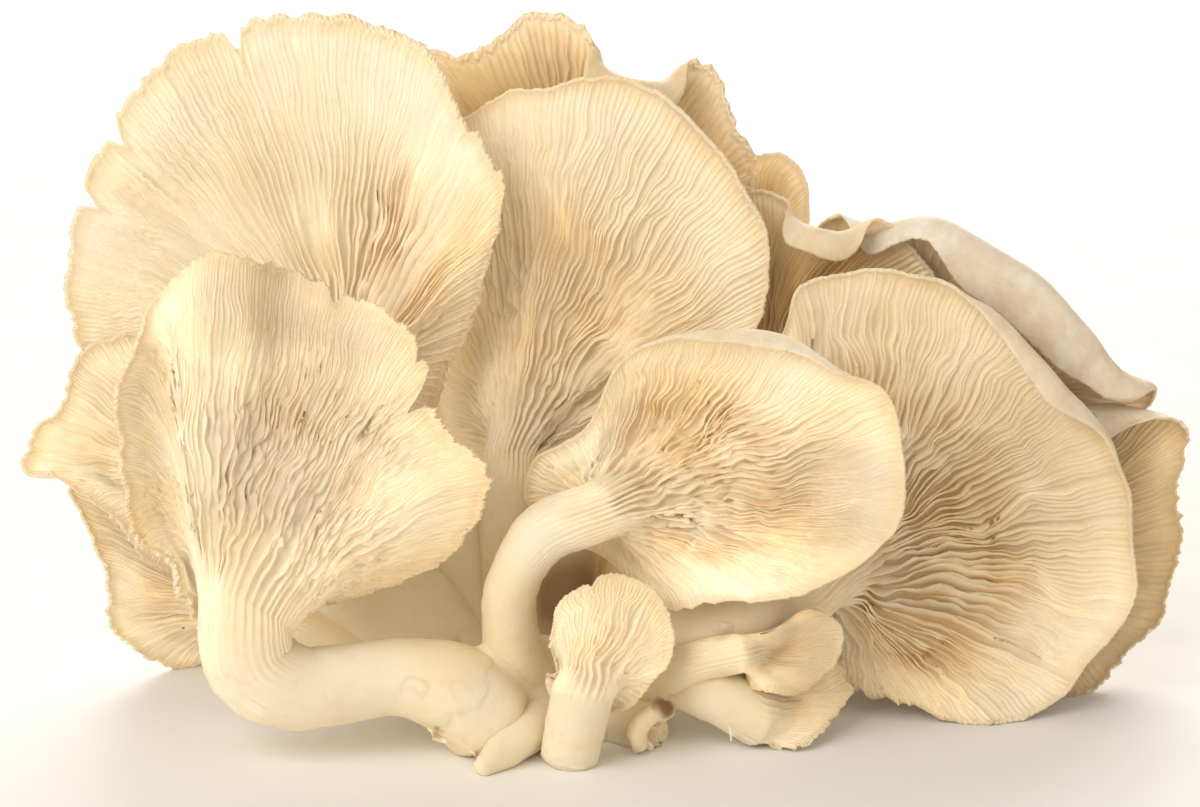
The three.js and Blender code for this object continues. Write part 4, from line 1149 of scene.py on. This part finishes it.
def cap_rows(skin, cap, gill_rows):
    """The gilled side, the margin and the smooth side, from neck to crown."""
    look = cap.body["look"]
    inner = int(OUTER_V * gill_rows.mean_length * ROW_SPARE / look["row"])
    outer = int((1 - OUTER_V) * gill_rows.mean_length * ROW_SPARE / look["rim_row"])
    for v in [*np.linspace(0, OUTER_V, inner + 1)[:-1], *np.linspace(OUTER_V, 1, outer + 1)]:
        points, deep, u = gill_rows.row(v)
        near_rim = smooth((1 - v) * gill_rows.mean_length, 1.2, 0.3)
        skin.add(points, gill_rows.places(v), deep=deep, margin=near_rim * np.ones(len(u)))
    places = gill_rows.places(1.0)
    roll_rows, flap_rows = (ROLL_ROWS, FLAP_ROWS) if "rolls" in cap.body else (2, 1)
    steps = [k / roll_rows for k in range(1, roll_rows + 1)]
    steps += [1 + k / flap_rows for k in range(1, flap_rows + 1)]
    for step in steps:
        point, onwards, normal = cap.rolled(u, step, gill_rows.inset)
        sunk = FULL_HOLLOW * deep * (1 - step / 2)
        # Half of the gills' painted hollow shade goes on round the roll.
        skin.add(point - normal * sunk[:, None], places, deep=deep * 0.5, margin=1.0)
    half = RIM_THICKNESS / 2
    for degrees in RIM_TURNS:
        turn = math.radians(degrees)
        bulge = half * (normal * (math.cos(turn) - 1) + onwards * math.sin(turn))
        share = (degrees - RIM_TURNS[0]) / (RIM_TURNS[-1] - RIM_TURNS[0])
        skin.add(point + bulge, places, margin=1.0, skin=share)
    even = np.arange(len(gill_rows.gills)) / len(gill_rows.gills)
    for step in reversed([0] + steps):
        point, _, normal = cap.rolled(even, step)
        skin.add(point - normal * RIM_THICKNESS, even, skin=1.0, margin=step / 2)
    for v in np.linspace(1, 0, SKIN_ROWS + 1)[1:-1]:
        here = even if v > SPARSE_V else even[::2]
        point = cap.smooth_side(here, v)
        rough = 0.25 * noise(point, 3.0, cap.seed + 30)
        back = cap.normal(here, np.full(len(here), v))
        skin.add(point + back * rough[:, None] * smooth(v, SPARSE_V, 0.7), here, skin=1.0)
    skin.add(cap.crown[None], [0.0], skin=1.0)


def fruit_body(body):
    cap = Cap(body)
    gill_rows = GillRows(cap)
    skin = Skin()
    stem_rows(skin, cap, gill_rows)
    cap_rows(skin, cap, gill_rows)
    skin.keep_above_floor()
    piece = skin.object(body["name"] + "_looks")
    if body["name"] in SCARS:
        piece = joined([piece, *strands(SCARS[body["name"]], SCAR_COLUMNS)], piece.name)
    return piece


def tube(skin, line, columns, spread=lambda t: 0.0):
    """A rounded stem along line, each place with its radius, made thicker by spread."""
    stem = np.array(line, float)
    axis = unit(stem[-1, :3] - stem[-2, :3])
    side = unit(np.cross((0, 0, 1.0), axis))
    length = np.sum(np.linalg.norm(np.diff(stem[:, :3], axis=0), axis=1))
    rows = max(int(length / STEM_ROW), 6)
    t, centres, radii, tangents, first, second, _ = stem_frames(
        stem, axis, side, np.cross(axis, side), rows + 1)
    u = np.arange(columns) / columns
    ring = 2 * np.pi * u
    for reach, share in ROUNDED_FOOT:
        add_ring(skin, centres[0] + tangents[0] * radii[0] * reach,
                 (radii[0] + spread(0.0)) * share, first[0], second[0], ring, u)
    for i in range(rows + 1):
        add_ring(skin, centres[i], radii[i] + spread(t[i]), first[i], second[i], ring, u)
    for reach, share in ROUNDED_END:
        add_ring(skin, centres[-1] + tangents[-1] * radii[-1] * reach,
                 (radii[-1] + spread(1.0)) * share, first[-1], second[-1], ring, u)


def add_ring(skin, centre, radius, first, second, angles, places):
    if radius < 0.01:
        skin.add(centre[None], [0.0], stem=1.0)
        return
    ring = np.cos(angles)[:, None] * first + np.sin(angles)[:, None] * second
    skin.add(centre + radius * ring, places, stem=1.0)


def lower_part(stem, length):
    """The stated stem from its foot up to that length, or to a share of its own length."""
    dense, _ = spline(stem, False, 8)
    steps = np.linalg.norm(np.diff(dense[:, :3], axis=0), axis=1)
    reach = np.concatenate([[0], np.cumsum(steps)])
    return dense[reach <= min(length, FOOT_SHARE * reach[-1])][::4]


def cut_flat(mesh):
    """Cuts away what is below the floor, and closes the cut with one flat face."""
    whole = bmesh.new()
    whole.from_mesh(mesh)
    everything = whole.verts[:] + whole.edges[:] + whole.faces[:]
    bmesh.ops.bisect_plane(whole, geom=everything, plane_co=(0, 0, LEAST_HEIGHT * MM),
                           plane_no=(0, 0, -1), clear_outer=True)
    rim = [edge for edge in whole.edges if edge.is_boundary]
    bmesh.ops.triangle_fill(whole, edges=rim, normal=(0, 0, -1))
    bmesh.ops.recalc_face_normals(whole, faces=whole.faces)
    whole.to_mesh(mesh)
    whole.free()


def joined(pieces, name):
    """Several meshes as one."""
    bpy.ops.object.select_all(action="DESELECT")
    for piece in pieces:
        piece.select_set(True)
    bpy.context.view_layer.objects.active = pieces[0]
    bpy.ops.object.join()
    bpy.context.object.name = name
    return bpy.context.object


def strands(lines, columns):
    """One small mesh for each line of places and radii."""
    made = []
    for line in lines:
        skin = Skin()
        tube(skin, line, columns)
        for points in skin.points:
            points += 0.25 * noise(points, 1.5, 331)[:, None]
        skin.keep_above_floor()
        made.append(skin.object("strand"))
    return made


def clump_parts():
    """The clump's lobes, and the feet of everything that grows from it."""
    parts = []
    for x, y, z, rx, ry, rz in CLUMP_LOBES:
        bpy.ops.mesh.primitive_uv_sphere_add(segments=48, ring_count=28, radius=1)
        lobe = bpy.context.object
        lobe.scale = (rx * MM, ry * MM, rz * MM)
        lobe.location = (x * MM, y * MM, z * MM)
        parts.append(lobe)
    for body in BODIES:
        foot = Skin()
        tube(foot, lower_part(body["stem"], FOOT_REACH), FOOT_COLUMNS, lambda t: 0.45 - 1.1 * t)
        parts.append(foot.object("foot"))
    for name, line in (("sprout", SPROUT), ("stub", STUB)):
        foot = Skin()
        tube(foot, lower_part(line, SMALL_FOOT), SMALL_FOOT_COLUMNS, lambda t: 0.5 - 1.2 * t)
        parts.append(foot.object(name))
    return parts


def melted(parts):
    """The parts as one soft lump, by a fine remesh."""
    clump = joined(parts, "clump")
    bpy.ops.object.transform_apply(location=True, rotation=True, scale=True)
    remesh = clump.modifiers.new("remesh", "REMESH")
    remesh.mode = "VOXEL"
    remesh.voxel_size = CLUMP_VOXEL * MM
    soften = clump.modifiers.new("soften", "SMOOTH")
    soften.factor = 0.5
    soften.iterations = 14
    bpy.ops.object.modifier_apply(modifier="remesh")
    bpy.ops.object.modifier_apply(modifier="soften")
    return clump


def base_clump():
    clump = melted(clump_parts())
    mesh = clump.data
    cut_flat(mesh)
    points = np.zeros(len(mesh.vertices) * 3)
    mesh.vertices.foreach_get("co", points)
    points = points.reshape(-1, 3) / MM
    normals = np.zeros(len(mesh.vertices) * 3)
    mesh.vertices.foreach_get("normal", normals)
    lump = 0.35 * noise(points, 9.0, 301) + 0.1 * noise(points, 3.0, 302)
    normals = normals.reshape(-1, 3) * smooth(points[:, 2], 0.3, 2.0)[:, None]
    points = points + normals * lump[:, None]
    points[:, 2] = np.maximum(points[:, 2], LEAST_HEIGHT)
    mesh.vertices.foreach_set("co", (points * MM).ravel())
    for key in MATERIAL_KEYS:
        if key in mesh.attributes:
            mesh.attributes.remove(mesh.attributes[key])
    values = {key: np.zeros(len(points)) for key in MATERIAL_KEYS}
    values["stem"] = np.ones(len(points))
    # Real brown marks and painted shade in the crevices, as on the fruit bodies.
    values["stain_and_shade"] = stain_and_shade(points)
    write_values(mesh, values)
    mesh.shade_smooth()
    return joined([clump, *strands(CRUMBS, CRUMB_COLUMNS)], "base_clump_looks")


def sprout():
    skin = Skin()
    tube(skin, SPROUT, SPROUT_COLUMNS)
    for points in skin.points:
        points += 0.3 * noise(points, 4.0, 311)[:, None] * np.array([0.5, 0.5, 1.0])
    skin.keep_above_floor()
    return skin.object("sprout_front_looks")


def torn_stub():
    """The stub of a stem that was pulled off: its end is hollow and ragged."""
    skin = Skin()
    stem = np.array(STUB, float)
    axis = unit(stem[-1, :3] - stem[-2, :3])
    side = unit(np.cross((0, 0, 1.0), axis))
    _, centres, radii, tangents, first, second, _ = stem_frames(
        stem, axis, side, np.cross(axis, side), STUB_ROWS)
    u = np.arange(STUB_COLUMNS) / STUB_COLUMNS
    ring = 2 * np.pi * u
    add_ring(skin, centres[0] - tangents[0] * 2, 0.0, first[0], second[0], ring, u)
    for i in range(STUB_ROWS):
        add_ring(skin, centres[i], radii[i], first[i], second[i], ring, u)
        skin.points[-1] += 0.5 * noise(skin.points[-1], 3.0, 321)[:, None]
    lip = skin.points[-1]
    torn = noise(lip, 1.8, 322)
    end = centres[-1]
    # The torn end is painted darker inwards, as shade inside its hollow.
    for inwards, onwards in ((0.05, 1.2), (0.2, 1.6), (0.35, 0.2), (0.6, -1.6), (0.85, -2.2)):
        points = lip + (end - lip) * inwards + tangents[-1] * (onwards * (1 + 1.4 * torn))[:, None]
        skin.add(points, u, stem=1.0, deep=0.3 + 0.7 * smooth(inwards, 0.1, 0.4))
    skin.add((end - 2.2 * tangents[-1])[None], [0.0], stem=1.0, deep=1.0)
    skin.keep_above_floor()
    return joined([skin.object("stub"), *strands(STALKS, STALK_COLUMNS)], "cut_stub_looks")


def linear(red, green, blue):
    """A screen colour, 0 to 255, as Blender's linear one."""
    def one(value):
        value = value / 255
        return value / 12.92 if value <= 0.04045 else ((value + 0.055) / 1.055) ** 2.4
    return one(red), one(green), one(blue), 1.0


# The colour of real brown marks and of painted shade.
STAIN_AND_SHADE_BROWN = linear(126, 82, 44)


class Nodes:
    """Short ways to add shader nodes to one material."""

    def __init__(self, name):
        self.material = bpy.data.materials.new(name)
        self.material.use_nodes = True
        self.tree = self.material.node_tree
        self.shader = self.tree.nodes["Principled BSDF"]
        self.place = self.add("ShaderNodeTexCoord").outputs["Object"]

    def add(self, kind, **settings):
        node = self.tree.nodes.new(kind)
        for key, value in settings.items():
            setattr(node, key, value)
        return node

    def put(self, value, socket):
        if isinstance(value, bpy.types.NodeSocket):
            self.tree.links.new(value, socket)
        else:
            socket.default_value = value

    def attribute(self, name):
        return self.add("ShaderNodeAttribute", attribute_name=name).outputs["Fac"]

    def noise(self, scale, detail=3.0, roughness=0.5, stretch=None):
        node = self.add("ShaderNodeTexNoise")
        node.inputs["Scale"].default_value = scale
        node.inputs["Detail"].default_value = detail
        node.inputs["Roughness"].default_value = roughness
        place = self.place
        if stretch:
            mapping = self.add("ShaderNodeMapping")
            mapping.inputs["Scale"].default_value = stretch
            self.put(place, mapping.inputs["Vector"])
            place = mapping.outputs["Vector"]
        self.put(place, node.inputs["Vector"])
        return node.outputs["Fac"]

    def spread(self, value, low, high, to_low=0.0, to_high=1.0):
        node = self.add("ShaderNodeMapRange", clamp=True)
        for socket, entry in zip(node.inputs, (value, low, high, to_low, to_high)):
            self.put(entry, socket)
        return node.outputs["Result"]

    def mix(self, share, first, second, blend="MIX"):
        node = self.add("ShaderNodeMix", data_type="RGBA", blend_type=blend)
        self.put(share, node.inputs[0])
        self.put(first, node.inputs[6])
        self.put(second, node.inputs[7])
        return node.outputs[2]

    def sum(self, first, second, operation="ADD"):
        node = self.add("ShaderNodeMath", operation=operation)
        self.put(first, node.inputs[0])
        self.put(second, node.inputs[1])
        return node.outputs[0]

    def bump(self, height, distance, strength=1.0):
        node = self.add("ShaderNodeBump")
        node.inputs["Distance"].default_value = distance
        node.inputs["Strength"].default_value = strength
        self.put(height, node.inputs["Height"])
        self.put(node.outputs["Normal"], self.shader.inputs["Normal"])


def flesh(name, edge, hollow, stem, skin, worn_skin, margin):
    """Mushroom flesh: pale gill edges over hollows darkened with painted shade, a smooth stem and a
    velvety skin.
    """
    n = Nodes(name)
    broad = n.noise(45.0, 3.0)
    patch = n.noise(260.0, 4.0, 0.6)
    fine = n.noise(1400.0, 3.0, 0.6)
    fibre = n.noise(900.0, 3.0, 0.6, stretch=(1.0, 1.0, 0.2))
    # Painted shade: the gaps between gills take the darker hollow colour.
    deep = n.sum(n.spread(n.attribute("deep"), 0.05, 0.95), 1.5, "POWER")
    colour = n.mix(deep, edge, hollow)
    colour = n.mix(n.attribute("stem"), colour, stem)
    colour = n.mix(n.sum(n.attribute("margin"), 0.5, "MULTIPLY"), colour, margin)
    mottle = n.spread(n.noise(170.0, 5.0, 0.65), 0.42, 0.62)
    colour = n.mix(n.attribute("skin"), colour, n.mix(mottle, skin, worn_skin))
    # Real brown marks, and painted shade in crevices and over parts of some caps.
    colour = n.mix(n.attribute("stain_and_shade"), colour, STAIN_AND_SHADE_BROWN)
    warm = n.spread(broad, 0.4, 0.65, 0.0, 0.55)
    colour = n.mix(warm, colour, linear(250, 240, 214), "MULTIPLY")
    speck = n.spread(patch, 0.56, 0.74, 0.0, 0.45)
    colour = n.mix(speck, colour, linear(244, 232, 206), "MULTIPLY")
    n.put(colour, n.shader.inputs["Base Color"])
    n.put(n.spread(patch, 0.3, 0.7, 0.5, 0.72), n.shader.inputs["Roughness"])
    n.bump(n.sum(fine, n.sum(fibre, n.attribute("stem"), "MULTIPLY")), 0.00018, 0.4)
    n.shader.subsurface_method = "BURLEY"
    n.shader.inputs["Subsurface Weight"].default_value = 0.4
    n.shader.inputs["Subsurface Radius"].default_value = (1.0, 0.96, 0.88)
    n.shader.inputs["Subsurface Scale"].default_value = 0.002
    n.shader.inputs["Specular IOR Level"].default_value = 0.3
    return n.material


def pale_flesh():
    return flesh("pale_flesh", edge=linear(242, 229, 203), hollow=linear(214, 182, 132),
                 stem=linear(248, 233, 203), skin=linear(238, 224, 202),
                 worn_skin=linear(229, 211, 184), margin=linear(230, 208, 166))


def shaded_flesh():
    return flesh("shaded_flesh", edge=linear(228, 204, 162), hollow=linear(178, 132, 72),
                 stem=linear(248, 226, 182), skin=linear(238, 220, 188),
                 worn_skin=linear(230, 206, 168), margin=linear(246, 232, 206))


def grey_flesh():
    return flesh("grey_flesh", edge=linear(226, 206, 172), hollow=linear(172, 132, 84),
                 stem=linear(220, 200, 164), skin=linear(244, 234, 218),
                 worn_skin=linear(232, 216, 194), margin=linear(214, 188, 146))


def clump_flesh():
    return flesh("clump_flesh", edge=linear(240, 224, 190), hollow=linear(158, 108, 58),
                 stem=linear(248, 233, 203), skin=linear(232, 214, 180),
                 worn_skin=linear(206, 178, 136), margin=linear(226, 204, 162))


def floor_and_lights():
    bpy.ops.mesh.primitive_plane_add(size=FLOOR_SIZE, location=(0, 0, 0))
    floor = bpy.context.object
    floor.name = "floor"
    n = Nodes("floor")
    grain = n.noise(60.0, 2.0)
    n.put(n.mix(grain, linear(253, 251, 247), linear(255, 253, 250)), n.shader.inputs["Base Color"])
    n.put(n.spread(grain, 0.3, 0.7, 0.6, 0.7), n.shader.inputs["Roughness"])
    floor.data.materials.append(n.material)
    world = bpy.data.worlds.new("world")
    world.use_nodes = True
    background = world.node_tree.nodes["Background"]
    background.inputs["Color"].default_value = WORLD_COLOUR
    background.inputs["Strength"].default_value = WORLD_STRENGTH
    bpy.context.scene.world = world
    for name, place, size, power in LIGHTS:
        lamp = bpy.data.lights.new(name, "AREA")
        lamp.energy = power
        lamp.size = size
        lamp.color = LIGHT_COLOUR
        light = bpy.data.objects.new(name, lamp)
        bpy.context.scene.collection.objects.link(light)
        light.location = place
        aim = Vector(LIGHT_TARGET) - light.location
        light.rotation_euler = aim.to_track_quat("-Z", "Y").to_euler()


def camera():
    lens = bpy.data.cameras.new("camera")
    lens.lens = CAMERA_LENS
    lens.sensor_width = 36
    lens.clip_start = 0.01
    eye = bpy.data.objects.new("camera", lens)
    bpy.context.scene.collection.objects.link(eye)
    tilt = math.radians(CAMERA_TILT)
    onwards = Vector((0, math.cos(tilt), -math.sin(tilt)))
    eye.location = Vector(CAMERA_TARGET) - onwards * CAMERA_DISTANCE
    eye.rotation_euler = onwards.to_track_quat("-Z", "Y").to_euler()
    bpy.context.scene.camera = eye
    bpy.context.scene.view_settings.view_transform = "Standard"


def finished(piece, node, slot, materials):
    """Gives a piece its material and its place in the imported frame."""
    piece.data.materials.clear()
    piece.data.materials.append(materials[slot])
    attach(piece, "root")
    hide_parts(node)


def mushrooms():
    materials = {
        "pale_flesh": pale_flesh(),
        "shaded_flesh": shaded_flesh(),
        "grey_flesh": grey_flesh(),
        "clump_flesh": clump_flesh(),
    }
    for body in BODIES:
        finished(fruit_body(body), body["name"], SLOTS.get(body["name"], "pale_flesh"), materials)
    finished(sprout(), "sprout_front", "pale_flesh", materials)
    finished(base_clump(), "base_clump", "clump_flesh", materials)
    finished(torn_stub(), "cut_stub", "clump_flesh", materials)


mushrooms()
floor_and_lights()
camera()
